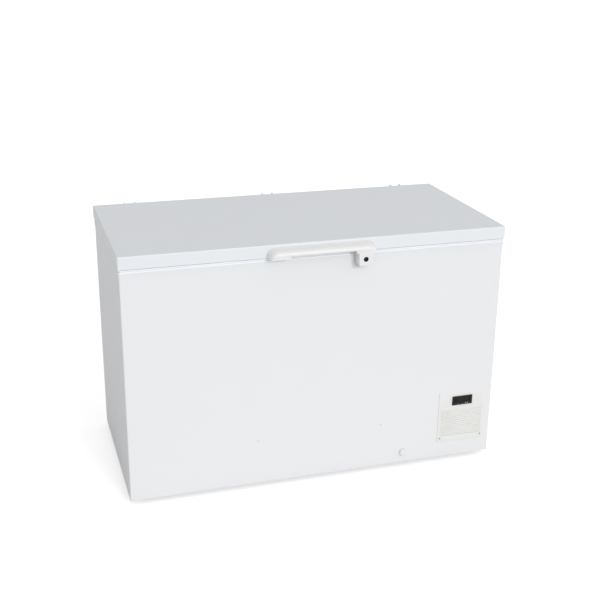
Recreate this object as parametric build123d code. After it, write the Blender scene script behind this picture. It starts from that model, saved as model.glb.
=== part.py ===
from build123d import *
import os
from math import cos, pi, radians, sin

os.makedirs("parts", exist_ok=True)

# Chest freezer for ultra low temperatures. Millimetres, +Z up, the floor at z = 0,
# the front facing -Y and the machine bay at +X. The origin is on the floor, under the
# middle of the cabinet.

# Cabinet and lid
LID_WIDTH = 1300.0
LID_DEPTH = 632.0
LID_TOP = 860.0
LID_SKIRT = 42.0
LID_OVERHANG = 4.0
LID_CORNER = 6.0
LID_EDGE = 3.0
LID_RETURN = 13.0
SHEET = 1.0
CABINET_CORNER = 4.0
REAR_RETURN = 16.0
FLOOR_RETURN = 20.0
FOOT_HEIGHT = 18.0
FOOT_RADIUS = 19.0
FOOT_DRAFT = 8.0
FOOT_SIDES = 16
FOOT_INSET = 62.0
SHEET_MARGIN = 1.5
PAN_MARGIN = 2.2
TUBE_SIDES = 8

# Insulated tub and the machine bay beside it
WALL = 95.0
STEP_WALL = 80.0
TUB_CORNER = 22.0
TUB_BED_CORNER = 11.0
LINER = 1.2
BAY_WIDTH = 290.0
BAY_HEIGHT = 312.0
TRAY = 2.5

# Rim of the cabinet, gasket and lid plug
FRAME_WEB = 3.0
FRAME_LIP = 12.0
FRAME_LIP_WALL = 1.8
FRAME_INNER_LIP = 25.0
FRAME_FIT = 0.2
GASKET_HEIGHT = 10.7
GASKET_WIDTH = 24.0
GASKET_INSET = 2.0
GASKET_NECK = 3.0
GASKET_GAP = 0.3
LINER_PLATE = 2.0
LINER_PLATE_INSET = 6.0
PLUG_DEPTH = 58.0
PLUG_GAP = 8.0
PLUG_DRAFT = 5.0
PLUG_CORNER = 18.0

# Cold coil of flattened tube round the tub
COIL_THICK = 6.0
COIL_BAND = 12.0
COIL_LOWER_TURNS = 3
COIL_UPPER_TURNS = 3
COIL_MARGIN = 45.0

# Drain
DRAIN_FROM_BAY = 39.0
DRAIN_FRONT_Z = 57.0
DRAIN_INLET_IN = 45.0
DRAIN_INLET_FRONT = 60.0
DRAIN_TUBE_R = 11.0
DRAIN_BORE_R = 8.0
DRAIN_TURN = 66.0
DRAIN_FALL = 6.0
DRAIN_SLEEVE_GAP = 0.4
DRAIN_RING_R = 16.0
DRAIN_RING = 2.0
DRAIN_CAP_R = 14.0
DRAIN_CAP = 12.0
DRAIN_STEM = 14.0
BUNG_R = 15.0
BUNG_HEIGHT = 7.0
PLUG_FIT = 0.3

# Hinges
HINGE_SPACING = 515.0
HINGE_REACH = 20.0
HINGE_DROP = 18.0
CHEEK_R = 15.0
CHEEK_CUT = 6.0
HINGE_HALF = 20.0
HINGE_PLATE = 2.0
HINGE_FLANGE = 12.0
HINGE_LENGTH = 192.0
HINGE_LIP_GAP = 3.0
PIN_R = 4.0
PIN_HEAD_R = 7.0
PIN_HEAD = 1.5
PIN_FIT = 0.05
EAR = 3.0
EAR_GAP = 1.5
EAR_BOSS_R = 8.0
LEAF_HALF = 27.5
LEAF_TOP_DROP = 6.0
LEAF_BOTTOM_RISE = 3.0
LID_SWING = 80.0
ROLLER_R = 3.0
ROLLER_ARM = 12.0
ROLLER_GAP = 0.6
PLUNGER_HALF = 3.5
PLUNGER_HEAD = 6.0
PLUNGER_HEAD_HALF = 11.0
PLUNGER_SEAT_HALF = 9.5
PLUNGER_SEAT = 3.0
GUIDE_DEPTH = 36.0
SPRING_WIRE = 2.2
SPRING_R = 8.0
SPRING_TURNS = 6
SPRING_SIDES = 8
SPRING_GAP = 0.2

# Handle and lock
HANDLE_HALF = 183.0
HANDLE_REACH = 35.0
HANDLE_LOW = 1.5
HANDLE_HEIGHT = 33.5
HANDLE_CORNER = 29.0
HANDLE_END_TAPER = 10.0
HANDLE_FACE_TAPER = 9.0
HANDLE_BEVEL = 8.0
HANDLE_WALL = 3.5
SLOT_FROM_LEFT = 87.0
SLOT_FROM_RIGHT = 75.0
SLOT_RISE = 5.5
LOCK_FROM_END = 44.0
LOCK_HALF = 26.0
LOCK_DROP = 46.0
LOCK_WALL = 3.0
LOCK_BACK_GAP = 2.0
LOCK_AXIS_DROP = 21.5
LOCK_CORNER = 6.0
CYLINDER_R = 8.0
CYLINDER_FIT = 0.08
CYLINDER_FACE = 0.5
CYLINDER_LENGTH = 17.0
CAM_THICK = 2.5
CAM_REACH = 14.0
CAM_HALF = 4.0
KEEPER = 2.5
KEEPER_HALF = 12.0
KEEPER_HEIGHT = 20.0
KEEPER_GAP = 1.2
KEEPER_HOOK = 13.0

# Control panel with its air grille, controller and keys
PANEL_FROM_SIDE = 113.0
PANEL_HALF = 88.0
PANEL_LOW = 76.0
PANEL_HIGH = 268.0
PANEL_PROUD = 2.0
PANEL_CORNER = 5.0
PANEL_EDGE = 1.0
PANEL_RIM = 1.5
PANEL_RIM_DEPTH = 8.0
PANEL_RIM_FIT = 0.5
PANEL_HOLE_LOW = 19.0
PANEL_HOLE_HIGH = 8.0
GRILLE_HALF = 78.5
GRILLE_LOW = 97.0
GRILLE_PITCH = 7.9
GRILLE_BLADES = 13
BLADE_GAP = 2.6
BLADE_DEPTH = 8.0
BLADE_RISE = 4.2
CONTROLLER_Z = 232.0
BEZEL_WIDTH = 76.0
BEZEL_HEIGHT = 34.0
BEZEL = 3.0
HOUSING_WIDTH = 71.0
HOUSING_HEIGHT = 29.0
HOUSING_DEPTH = 58.0
WINDOW_MARGIN = 6.0
WINDOW_HEIGHT = 19.0
WINDOW_TOP_MARGIN = 4.0
WINDOW_SET_BACK = 0.4
KEY_COUNT = 3
KEY_PITCH = 16.5
KEY_WIDTH = 12.0
KEY_HEIGHT = 5.0
KEY_RISE = 3.0
KEY_PROUD = 0.6
KEY_TRAVEL = 0.6
KEY_GAP = 0.3

# Machine bay
COMPRESSOR_IN = 124.0
COMPRESSOR_FROM_BACK = 194.0
COMPRESSOR_R = 82.0
COMPRESSOR_HEIGHT = 190.0
GROMMET_R = 11.0
GROMMET_HEIGHT = 12.0
FOOT_PLATE = 3.0
FOOT_PLATE_X = 180.0
FOOT_PLATE_Y = 120.0
CONDENSER_FROM_SIDE = 146.0
CONDENSER_SIDE_GAP = 24.0
CONDENSER_SETBACK = 29.0
CONDENSER_HEIGHT = 176.0
HEADER_HALF = 7.0
FLAT_TUBE = 2.0
FLAT_TUBE_DEPTH = 12.0
FLAT_TUBES = 8
FINS = 16
FIN_THICK = 0.8
FIN_DEPTH = 22.0
SHROUD_GAP = 12.0
SHROUD = 2.0
FAN_R = 76.0
FAN_TIP_R = 73.0
FAN_CHORD = 38.0
FAN_TIP_GAP = 5.0
FAN_BLADES = 5
FAN_DEPTH = 20.0
FAN_PITCH = 32.0
HUB_R = 20.0
SHAFT_R = 3.0
MOTOR_R = 30.0
MOTOR_LENGTH = 52.0
DRIER_R = 11.0
DRIER_LENGTH = 120.0
DRIER_IN = 22.0
DRIER_FROM_BACK = 72.0
LINE_R = 3.2
SUCTION_R = 4.8
CAPILLARY_R = 1.6
LINE_STEP = 18.0
LINE_LEVEL = 250.0
BOX_WIDTH = 68.0
BOX_DEPTH = 130.0
BOX_HEIGHT = 118.0
VENT_MARGIN = 16.0
VENT_LAP = 12.0
VENT_COVER = 1.2
VENT_SLOTS = 8
VENT_SLOT = 6.0
VENT_HOOD = 9.0
VENT_HOOD_TILT = 28.0
INLET_IN = 48.0
INLET_Z = 62.0
INLET_HALF = 14.0
INLET_RISE = 11.0
PROBE_WIDTH = 40.0
PROBE_HEIGHT = 20.0
PROBE_DEPTH = 12.0
PROBE_Z = 560.0

# Places that follow from the sizes above
CABINET_X = LID_WIDTH / 2 - LID_OVERHANG
CABINET_Y = LID_DEPTH / 2 - LID_OVERHANG
LID_FRONT = -LID_DEPTH / 2
LID_REAR = LID_DEPTH / 2
LID_LOW = LID_TOP - LID_SKIRT
PLATE_LOW = LID_LOW - LINER_PLATE
GASKET_LOW = PLATE_LOW - GASKET_HEIGHT
FRAME_TOP = GASKET_LOW - GASKET_GAP
CABINET_TOP = FRAME_TOP - FRAME_WEB
FRAME_LIP_LOW = FRAME_TOP - FRAME_LIP
FRAME_X = CABINET_X + FRAME_FIT + FRAME_LIP_WALL
FRAME_Y = CABINET_Y + FRAME_FIT + FRAME_LIP_WALL
FLOOR_SKIN = FOOT_HEIGHT + SHEET
PAN_TOP = FLOOR_SKIN + SHEET
TRAY_TOP = FLOOR_SKIN + TRAY
TUB_X = CABINET_X - WALL
TUB_Y = CABINET_Y - WALL
TUB_FLOOR = FOOT_HEIGHT + WALL
BAY_X = CABINET_X - BAY_WIDTH
BAY_TOP = FOOT_HEIGHT + BAY_HEIGHT
STEP_X = BAY_X - WALL
STEP_Z = BAY_TOP + STEP_WALL
RIM_X = TUB_X - FRAME_FIT - FRAME_LIP_WALL
RIM_Y = TUB_Y - FRAME_FIT - FRAME_LIP_WALL
PANEL_X = CABINET_X - PANEL_FROM_SIDE
DRAIN_FRONT_X = BAY_X - DRAIN_FROM_BAY
COMPRESSOR_X = BAY_X + COMPRESSOR_IN
COMPRESSOR_Y = CABINET_Y - COMPRESSOR_FROM_BACK
CONDENSER_X = CABINET_X - CONDENSER_FROM_SIDE
CONDENSER_HALF = CONDENSER_FROM_SIDE - CONDENSER_SIDE_GAP
CONDENSER_Y = CONDENSER_SETBACK - CABINET_Y
DRIER_X = BAY_X + DRIER_IN
DRIER_Y = CABINET_Y - DRIER_FROM_BACK
INLET_X = BAY_X + INLET_IN
SLOT_LEFT = SLOT_FROM_LEFT - HANDLE_HALF
SLOT_RIGHT = HANDLE_HALF - SLOT_FROM_RIGHT
LOCK_X = HANDLE_HALF - LOCK_FROM_END
HINGE_XS = [-HINGE_SPACING, 0.0, HINGE_SPACING]
PIN_Y = LID_REAR + HINGE_REACH
PIN_Z = LID_TOP - HINGE_DROP
BACK = CABINET_Y + SHEET


def block(x0, x1, y0, y1, z0, z1):
    """A box given by its six faces."""
    middle = Pos((x0 + x1) / 2, (y0 + y1) / 2, (z0 + z1) / 2)
    return middle * Box(x1 - x0, y1 - y0, z1 - z0)


def slab(half_x, half_y, corner, z0, z1, x=0.0):
    """A plate with rounded vertical corners, centred on x and on the cabinet's depth."""
    return Pos(x, 0, z0) * extrude(RectangleRounded(2 * half_x, 2 * half_y, corner), amount=z1 - z0)


def cut_slab(half_x, half_y, corner, z0, z1, x=0.0):
    """The same with its corners cut straight, for foam and other unseen pieces."""
    outline = chamfer(Rectangle(2 * half_x, 2 * half_y).vertices(), corner)
    return Pos(x, 0, z0) * extrude(outline, amount=z1 - z0)


def rod_x(y, z, radius, x0, x1):
    """A round bar along X."""
    bar = Cylinder(radius, x1 - x0, align=(Align.CENTER, Align.CENTER, Align.MIN))
    return Pos(x0, y, z) * Rot(0, 90, 0) * bar


def rod_y(x, z, radius, y0, y1):
    """A round bar along Y."""
    bar = Cylinder(radius, y1 - y0, align=(Align.CENTER, Align.CENTER, Align.MIN))
    return Pos(x, y0, z) * Rot(-90, 0, 0) * bar


def rod_z(x, y, radius, z0, z1):
    """A round bar along Z."""
    bar = Cylinder(radius, z1 - z0, align=(Align.CENTER, Align.CENTER, Align.MIN))
    return Pos(x, y, z0) * bar


def bent_tube(points, radius):
    """A tube's outer form along straight runs, turned sharply at brazed elbows."""
    path = Polyline(*points)
    section = Plane(origin=path @ 0, z_dir=path % 0) * RegularPolygon(radius, TUBE_SIDES)
    return sweep(section, path=path, transition=Transition.RIGHT)


def side_profile(outline, x0, x1):
    """A prism along X with its outline given as (y, z) points or a sketch on YZ."""
    return Pos(x0, 0, 0) * extrude(Plane.YZ * outline, amount=x1 - x0)


def save(node, *solids):
    """Write one sub-part, or a set of like ones, to its own file."""
    shape = solids[0] if len(solids) == 1 else Compound(children=list(solids))
    export_step(shape, "parts/" + node + ".step")


# Cabinet

def tub_form(plate, grow, corner, top):
    """The tub's inside, grown by a wall, with the step over the machine bay."""
    upper = plate(TUB_X + grow, TUB_Y + grow, corner, STEP_Z - grow, top)
    half = (STEP_X + TUB_X) / 2 + grow
    return upper + plate(half, TUB_Y + grow, corner, TUB_FLOOR - grow, top, (STEP_X - TUB_X) / 2)


def panel_hole(gap):
    """The front opening behind the control panel, made smaller all round by the gap."""
    half = GRILLE_HALF + PANEL_RIM + PANEL_RIM_FIT - gap
    low = PANEL_LOW + PANEL_HOLE_LOW + gap
    high = PANEL_HIGH - PANEL_HOLE_HIGH - gap
    return PANEL_X - half, PANEL_X + half, low, high


def cabinet_wrapper():
    """Front and sides of the cabinet, one folded sheet with returns at the rear and floor."""
    shell = slab(CABINET_X, CABINET_Y, CABINET_CORNER, FOOT_HEIGHT, CABINET_TOP)
    shell -= cut_slab(CABINET_X - SHEET, CABINET_Y - SHEET, CABINET_CORNER, FLOOR_SKIN, CABINET_TOP)
    side = CABINET_X - REAR_RETURN
    shell -= block(-side, side, CABINET_Y - SHEET, CABINET_Y, FOOT_HEIGHT, CABINET_TOP)
    side = CABINET_X - FLOOR_RETURN
    shell -= block(-side, side, FLOOR_RETURN - CABINET_Y, CABINET_Y, FOOT_HEIGHT, FLOOR_SKIN)
    x0, x1, z0, z1 = panel_hole(0)
    shell -= block(x0, x1, -CABINET_Y, SHEET - CABINET_Y, z0, z1)
    sleeve = DRAIN_TUBE_R + DRAIN_SLEEVE_GAP
    return shell - rod_y(DRAIN_FRONT_X, DRAIN_FRONT_Z, sleeve, -CABINET_Y, SHEET - CABINET_Y)


def vent_hole(lap):
    """The opening at the back of the machine bay, made larger all round by the lap."""
    x0 = BAY_X + VENT_MARGIN - lap
    x1 = CABINET_X - REAR_RETURN - SHEET_MARGIN - VENT_MARGIN + lap
    return x0, x1, FLOOR_SKIN + VENT_MARGIN - lap, BAY_TOP - VENT_MARGIN + lap


def back_panel():
    """Flat steel back, lapped over the returns of the wrapper."""
    side = CABINET_X - SHEET_MARGIN - CABINET_CORNER
    sheet = block(-side, side, CABINET_Y, BACK, FLOOR_SKIN, FRAME_LIP_LOW - SHEET_MARGIN)
    x0, x1, z0, z1 = vent_hole(0)
    return sheet - block(x0, x1, CABINET_Y, BACK, z0, z1)


def base_pan():
    """Steel floor under the foam, resting on the floor returns."""
    side = CABINET_X - SHEET - PAN_MARGIN
    depth = CABINET_Y - SHEET - PAN_MARGIN
    return block(-side, BAY_X, -depth, depth, FLOOR_SKIN, PAN_TOP)


def compressor_tray():
    """Thick floor of the machine bay."""
    depth = CABINET_Y - SHEET - PAN_MARGIN
    return block(BAY_X, CABINET_X - SHEET - PAN_MARGIN, -depth, depth, FLOOR_SKIN, TRAY_TOP)


def bay_shell():
    """Side wall and ceiling of the machine bay, one bent sheet."""
    depth = CABINET_Y - SHEET - PAN_MARGIN
    wall = block(BAY_X - SHEET, BAY_X, -depth, depth, PAN_TOP, BAY_TOP + SHEET)
    side = CABINET_X - SHEET - PAN_MARGIN
    return wall + block(BAY_X - SHEET, side, -depth, depth, BAY_TOP, BAY_TOP + SHEET)


def inner_liner():
    """Sheet metal tub with its step and drain hole."""
    tub = tub_form(cut_slab, LINER, TUB_BED_CORNER, CABINET_TOP)
    tub -= tub_form(slab, 0, TUB_CORNER, CABINET_TOP)
    x, y = drain_inlet()
    return tub - rod_z(x, y, DRAIN_BORE_R, TUB_FLOOR - LINER, TUB_FLOOR)


def coil_loop(half_x, x, z):
    """One loop of flattened tube round the tub."""
    outside = cut_slab(half_x + COIL_THICK, TUB_Y + LINER + COIL_THICK, TUB_BED_CORNER + COIL_THICK / 2,
                       z, z + COIL_BAND, x)
    return outside - cut_slab(half_x, TUB_Y + LINER, TUB_BED_CORNER, z, z + COIL_BAND, x)


def loop_levels(low, high, count):
    """Evenly spaced levels for the loops between two heights."""
    first = low + COIL_MARGIN
    spread = high - COIL_MARGIN - COIL_BAND - first
    return [first + spread * i / (count - 1) for i in range(count)]


def evaporator_coil():
    """Loops of flattened tube bonded to the tub, joined by a riser on the left wall."""
    low_half = (STEP_X + TUB_X) / 2 + LINER
    low_levels = loop_levels(TUB_FLOOR, STEP_Z, COIL_LOWER_TURNS)
    high_levels = loop_levels(STEP_Z, CABINET_TOP, COIL_UPPER_TURNS)
    left = -TUB_X - LINER
    coil = block(left - COIL_THICK, left, -COIL_BAND / 2, COIL_BAND / 2, low_levels[0], high_levels[-1])
    for z in low_levels:
        coil += coil_loop(low_half, (STEP_X - TUB_X) / 2, z)
    for z in high_levels:
        coil += coil_loop(TUB_X + LINER, 0.0, z)
    return coil


def foam_body():
    """Foamed insulation between the skins, with beds for the coil and the drain."""
    foam = cut_slab(CABINET_X - SHEET, CABINET_Y - SHEET, CABINET_CORNER, PAN_TOP, CABINET_TOP)
    side = CABINET_X - REAR_RETURN - SHEET_MARGIN
    foam += block(-side, side, CABINET_Y - 2 * SHEET, CABINET_Y, PAN_TOP, CABINET_TOP)
    foam -= block(BAY_X - SHEET, CABINET_X, -CABINET_Y, CABINET_Y, PAN_TOP, BAY_TOP + SHEET)
    foam -= tub_form(cut_slab, LINER, TUB_BED_CORNER, CABINET_TOP)
    return foam - evaporator_coil() - drain_route(DRAIN_TUBE_R)


def top_frame():
    """Moulded rim that caps the wrapper, the foam and the tub's edge."""
    outer = CABINET_CORNER + FRAME_FIT + FRAME_LIP_WALL
    inner = TUB_CORNER - FRAME_FIT - FRAME_LIP_WALL
    web = slab(FRAME_X, FRAME_Y, outer, CABINET_TOP, FRAME_TOP)
    lip = slab(FRAME_X, FRAME_Y, outer, FRAME_LIP_LOW, CABINET_TOP)
    lip -= slab(CABINET_X + FRAME_FIT, CABINET_Y + FRAME_FIT, CABINET_CORNER + FRAME_FIT,
                FRAME_LIP_LOW, CABINET_TOP)
    low = FRAME_TOP - FRAME_INNER_LIP
    skirt = slab(TUB_X - FRAME_FIT, TUB_Y - FRAME_FIT, TUB_CORNER - FRAME_FIT, low, CABINET_TOP)
    return web + lip + skirt - slab(RIM_X, RIM_Y, inner, low, FRAME_TOP)


def feet():
    """Four low tapered feet under the floor."""
    x = CABINET_X - FOOT_INSET
    y = CABINET_Y - FOOT_INSET
    foot = extrude(RegularPolygon(FOOT_RADIUS, FOOT_SIDES), amount=FLOOR_SKIN, taper=-FOOT_DRAFT)
    return [Pos(i * x, j * y, 0) * foot for i in (-1, 1) for j in (-1, 1)]


def probe_cover():
    """Small cover over the temperature probe, on the tub's right wall."""
    low = PROBE_Z - PROBE_HEIGHT / 2
    cover = block(TUB_X - PROBE_DEPTH, TUB_X, -PROBE_WIDTH / 2, PROBE_WIDTH / 2, low, low + PROBE_HEIGHT)
    cover = chamfer(cover.faces().sort_by(Axis.X)[0].edges(), 2 * LINER)
    wall = 2 * LINER
    return cover - block(TUB_X - PROBE_DEPTH + wall, TUB_X, wall - PROBE_WIDTH / 2, PROBE_WIDTH / 2 - wall,
                         low, low + PROBE_HEIGHT - wall)


# Drain

def drain_inlet():
    """Place of the drain hole in the tub's floor."""
    return STEP_X - DRAIN_INLET_IN, DRAIN_INLET_FRONT - TUB_Y


def drain_route(radius):
    """The form of the drain from under the tub's floor to the cabinet's front."""
    x, y = drain_inlet()
    turn = DRAIN_TURN - CABINET_Y
    return bent_tube([(x, y, TUB_FLOOR - LINER), (x, y, DRAIN_FRONT_Z + DRAIN_FALL),
                      (DRAIN_FRONT_X, turn, DRAIN_FRONT_Z),
                      (DRAIN_FRONT_X, -CABINET_Y - DRAIN_RING, DRAIN_FRONT_Z)], radius)


def drain_tube():
    """Plastic drain tube, its bore clear of the stems of cap and bung."""
    return drain_route(DRAIN_TUBE_R) - drain_route(DRAIN_BORE_R / cos(pi / TUBE_SIDES))


def drain_escutcheon():
    """Ring round the tube's end on the cabinet's front."""
    front = -CABINET_Y - DRAIN_RING
    ring = rod_y(DRAIN_FRONT_X, DRAIN_FRONT_Z, DRAIN_RING_R, front, -CABINET_Y)
    return ring - rod_y(DRAIN_FRONT_X, DRAIN_FRONT_Z, DRAIN_TUBE_R + DRAIN_SLEEVE_GAP, front, -CABINET_Y)


def drain_cap():
    """Push-in cap of the front drain outlet."""
    seat = -CABINET_Y - DRAIN_RING - PLUG_FIT
    cap = rod_y(DRAIN_FRONT_X, DRAIN_FRONT_Z, DRAIN_CAP_R, seat - DRAIN_CAP, seat)
    cap = chamfer(cap.faces().sort_by(Axis.Y)[0].edges(), SHEET)
    return cap + rod_y(DRAIN_FRONT_X, DRAIN_FRONT_Z, DRAIN_BORE_R - PLUG_FIT, seat, seat + DRAIN_STEM)


def drain_bung():
    """Stopper in the tub's floor."""
    x, y = drain_inlet()
    seat = TUB_FLOOR + PLUG_FIT
    head = rod_z(x, y, BUNG_R, seat, seat + BUNG_HEIGHT)
    return head + rod_z(x, y, DRAIN_BORE_R - PLUG_FIT, seat - DRAIN_STEM, seat)


# Lid

def lid_inside(low):
    """The space inside the lid's steel pan, from a level up."""
    space = cut_slab(LID_WIDTH / 2 - SHEET, LID_DEPTH / 2 - SHEET, LID_CORNER, low, LID_TOP - SHEET)
    return chamfer(space.faces().sort_by(Axis.Z)[-1].edges(), LID_EDGE - SHEET)


def lid_opening(z0, z1):
    """The mouth of the pan, inside its return flange."""
    return cut_slab(LID_WIDTH / 2 - LID_RETURN, LID_DEPTH / 2 - LID_RETURN, LID_CORNER, z0, z1)


def lid_skin():
    """Steel pan of the lid with a return flange at the bottom."""
    pan = slab(LID_WIDTH / 2, LID_DEPTH / 2, LID_CORNER, LID_LOW, LID_TOP)
    pan = fillet(pan.faces().sort_by(Axis.Z)[-1].edges(), LID_EDGE)
    return pan - lid_inside(LID_LOW + SHEET) - lid_opening(LID_LOW, LID_LOW + SHEET)


def plug_form():
    """The tapered plug under the lid."""
    outline = RectangleRounded(2 * (RIM_X - PLUG_GAP), 2 * (RIM_Y - PLUG_GAP), PLUG_CORNER)
    return Pos(0, 0, LID_LOW) * extrude(outline, amount=-PLUG_DEPTH, taper=PLUG_DRAFT)


def plug_hollow():
    """The space inside the plug, with its corners cut straight."""
    outline = Rectangle(2 * (RIM_X - PLUG_GAP - LINER_PLATE), 2 * (RIM_Y - PLUG_GAP - LINER_PLATE))
    outline = chamfer(outline.vertices(), PLUG_CORNER)
    return Pos(0, 0, LID_LOW) * extrude(outline, amount=LINER_PLATE - PLUG_DEPTH, taper=PLUG_DRAFT)


def lid_liner():
    """Moulded inner face of the lid, with the hollow plug that fills the tub's mouth."""
    inset = LINER_PLATE_INSET
    plate = slab(LID_WIDTH / 2 - inset, LID_DEPTH / 2 - inset, LID_CORNER, PLATE_LOW, LID_LOW)
    return plate + plug_form() - plug_hollow()


def lid_foam():
    """Foamed insulation inside the pan and the plug."""
    space = LID_LOW + SHEET
    return lid_inside(space) + lid_opening(LID_LOW, space) + plug_hollow()


def gasket():
    """Soft seal round the lid, with a narrow neck under its base."""
    half_x = LID_WIDTH / 2 - GASKET_INSET
    half_y = LID_DEPTH / 2 - GASKET_INSET
    neck_low = PLATE_LOW - 2 * GASKET_NECK
    seal = slab(half_x, half_y, LID_CORNER, GASKET_LOW, PLATE_LOW)
    seal -= cut_slab(half_x - GASKET_WIDTH, half_y - GASKET_WIDTH, LID_CORNER, GASKET_LOW, PLATE_LOW)
    groove = slab(half_x, half_y, LID_CORNER, neck_low, neck_low + GASKET_NECK)
    groove -= cut_slab(half_x - GASKET_NECK, half_y - GASKET_NECK, LID_CORNER, neck_low,
                       neck_low + GASKET_NECK)
    return seal - groove


def handle_section(y, half, low, high, corner):
    """One section of the handle, with large upper corners."""
    outline = Pos(0, (low + high) / 2) * Rectangle(2 * half, high - low)
    outline = fillet(outline.vertices().group_by(Axis.Y)[-1], corner)
    return Plane.XZ.offset(-y) * outline


def handle():
    """Moulded pull handle: an arched shell on the lid's front, open underneath."""
    low = LID_LOW + HANDLE_LOW
    high = low + HANDLE_HEIGHT
    front = LID_FRONT - HANDLE_REACH
    shoulder = front + HANDLE_BEVEL
    sections = [
        handle_section(LID_FRONT, HANDLE_HALF, low, high, HANDLE_CORNER),
        handle_section(shoulder, HANDLE_HALF - HANDLE_END_TAPER, low, high - HANDLE_BEVEL / 4,
                       HANDLE_CORNER - HANDLE_BEVEL / 4),
        handle_section(front, HANDLE_HALF - HANDLE_END_TAPER - HANDLE_FACE_TAPER, low, high - HANDLE_BEVEL,
                       HANDLE_CORNER - HANDLE_BEVEL),
    ]
    body = loft(sections, ruled=True)
    body -= block(SLOT_LEFT, SLOT_RIGHT, front, LID_FRONT - HANDLE_WALL, low, low + SLOT_RISE)
    recess_top = high - HANDLE_BEVEL - HANDLE_WALL / 2
    return body - block(SLOT_LEFT, SLOT_RIGHT, front + HANDLE_WALL, LID_FRONT - HANDLE_WALL,
                        low + SLOT_RISE, recess_top)


# Lock

LOCK_FRONT = LID_FRONT - HANDLE_REACH
LOCK_BACK = LID_FRONT - LOCK_BACK_GAP
LOCK_TOP = LID_LOW + HANDLE_LOW
LOCK_LOW = LOCK_TOP - LOCK_DROP
LOCK_Z = LOCK_TOP - LOCK_AXIS_DROP
CYLINDER_FRONT = LOCK_FRONT + CYLINDER_FACE
CAM_FRONT = CYLINDER_FRONT + CYLINDER_LENGTH
KEEPER_FRONT = -CABINET_Y - KEEPER
HOOK_LEFT = LOCK_X - LOCK_HALF + LOCK_WALL + KEEPER_GAP
HOOK_RIGHT = HOOK_LEFT + KEEPER_HOOK
HOOK_LOW = LOCK_Z + CAM_HALF + KEEPER_GAP


def lock_housing():
    """Moulded lock body under the handle, open towards the cabinet and the keeper."""
    body = block(LOCK_X - LOCK_HALF, LOCK_X + LOCK_HALF, LOCK_FRONT, LOCK_BACK, LOCK_LOW, LOCK_TOP)
    low_corners = body.edges().filter_by(Axis.Y).group_by(Axis.Z)[0]
    body = fillet(low_corners, LOCK_CORNER)
    inside = LOCK_HALF - LOCK_WALL
    wall_back = LOCK_FRONT + LOCK_WALL
    body -= block(LOCK_X - inside, LOCK_X + inside, wall_back, LOCK_BACK, LOCK_LOW + LOCK_CORNER,
                  LOCK_TOP - LOCK_WALL)
    body -= block(LOCK_X - inside, LOCK_X + inside, wall_back + LOCK_CORNER, LOCK_BACK, LOCK_LOW,
                  LOCK_LOW + LOCK_CORNER)
    collar_end = CAM_FRONT - SHEET
    body += rod_y(LOCK_X, LOCK_Z, CYLINDER_R + LOCK_WALL, wall_back, collar_end)
    return body - rod_y(LOCK_X, LOCK_Z, CYLINDER_R + CYLINDER_FIT, LOCK_FRONT, collar_end)


def lock_cylinder():
    """Key cylinder, with its key slot."""
    barrel = rod_y(LOCK_X, LOCK_Z, CYLINDER_R, CYLINDER_FRONT, CAM_FRONT)
    slot = SHEET / 2
    return barrel - block(LOCK_X - slot, LOCK_X + slot, CYLINDER_FRONT, CYLINDER_FRONT + 4 * CAM_HALF,
                          LOCK_Z - CAM_HALF, LOCK_Z + CAM_HALF)


def lock_cam():
    """Arm behind the cylinder, pointing down while unlocked."""
    back = CAM_FRONT + CAM_THICK
    arm = block(LOCK_X - CAM_HALF, LOCK_X + CAM_HALF, CAM_FRONT, back, LOCK_Z - CAM_REACH, LOCK_Z)
    return arm + rod_y(LOCK_X, LOCK_Z, CAM_HALF + SHEET, CAM_FRONT, back)


def lock_keeper():
    """Steel keeper on the cabinet's front, hooked over the cam when it is turned."""
    plate_top = FRAME_LIP_LOW - SHEET_MARGIN
    plate_low = plate_top - KEEPER_HEIGHT
    centre = (HOOK_LEFT + LOCK_X + LOCK_HALF - LOCK_WALL - KEEPER_GAP) / 2
    plate = block(HOOK_LEFT, centre + KEEPER_HALF, KEEPER_FRONT, -CABINET_Y, plate_low, plate_top)
    reach = CAM_FRONT - KEEPER_GAP / 4
    clear = -FRAME_Y - SHEET_MARGIN
    hook_top = HOOK_LOW + KEEPER
    post = block(HOOK_LEFT, HOOK_LEFT + KEEPER, reach, KEEPER_FRONT, plate_low, plate_top)
    post += block(HOOK_LEFT, HOOK_LEFT + KEEPER, reach, clear, plate_top, hook_top)
    hook = block(HOOK_LEFT, HOOK_RIGHT, reach, CAM_FRONT + CAM_THICK + KEEPER_GAP, HOOK_LOW, hook_top)
    return plate + post + hook


# Hinges

ROLLER_Y = PIN_Y - ROLLER_ARM * cos(radians(LID_SWING / 2))
ROLLER_Z = PIN_Z - ROLLER_ARM * sin(radians(LID_SWING / 2))
EAR_OUT = HINGE_HALF - HINGE_PLATE - EAR_GAP
EAR_IN = EAR_OUT - EAR
HINGE_LOW = PIN_Z - HINGE_LENGTH
HINGE_FLANGE_TOP = FRAME_LIP_LOW - HINGE_LIP_GAP
HINGE_REAR = PIN_Y + CHEEK_R
PLUNGER_Y = (LID_REAR + HINGE_PLATE + PIN_Y - PIN_R) / 2
HEAD_TOP = ROLLER_Z - ROLLER_R - ROLLER_GAP
GUIDE_Z = PIN_Z - GUIDE_DEPTH
LIFT = 2 * ROLLER_ARM * sin(radians(LID_SWING / 2))
SEAT_TOP = GUIDE_Z - HINGE_PLATE - LIFT - SHEET


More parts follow.
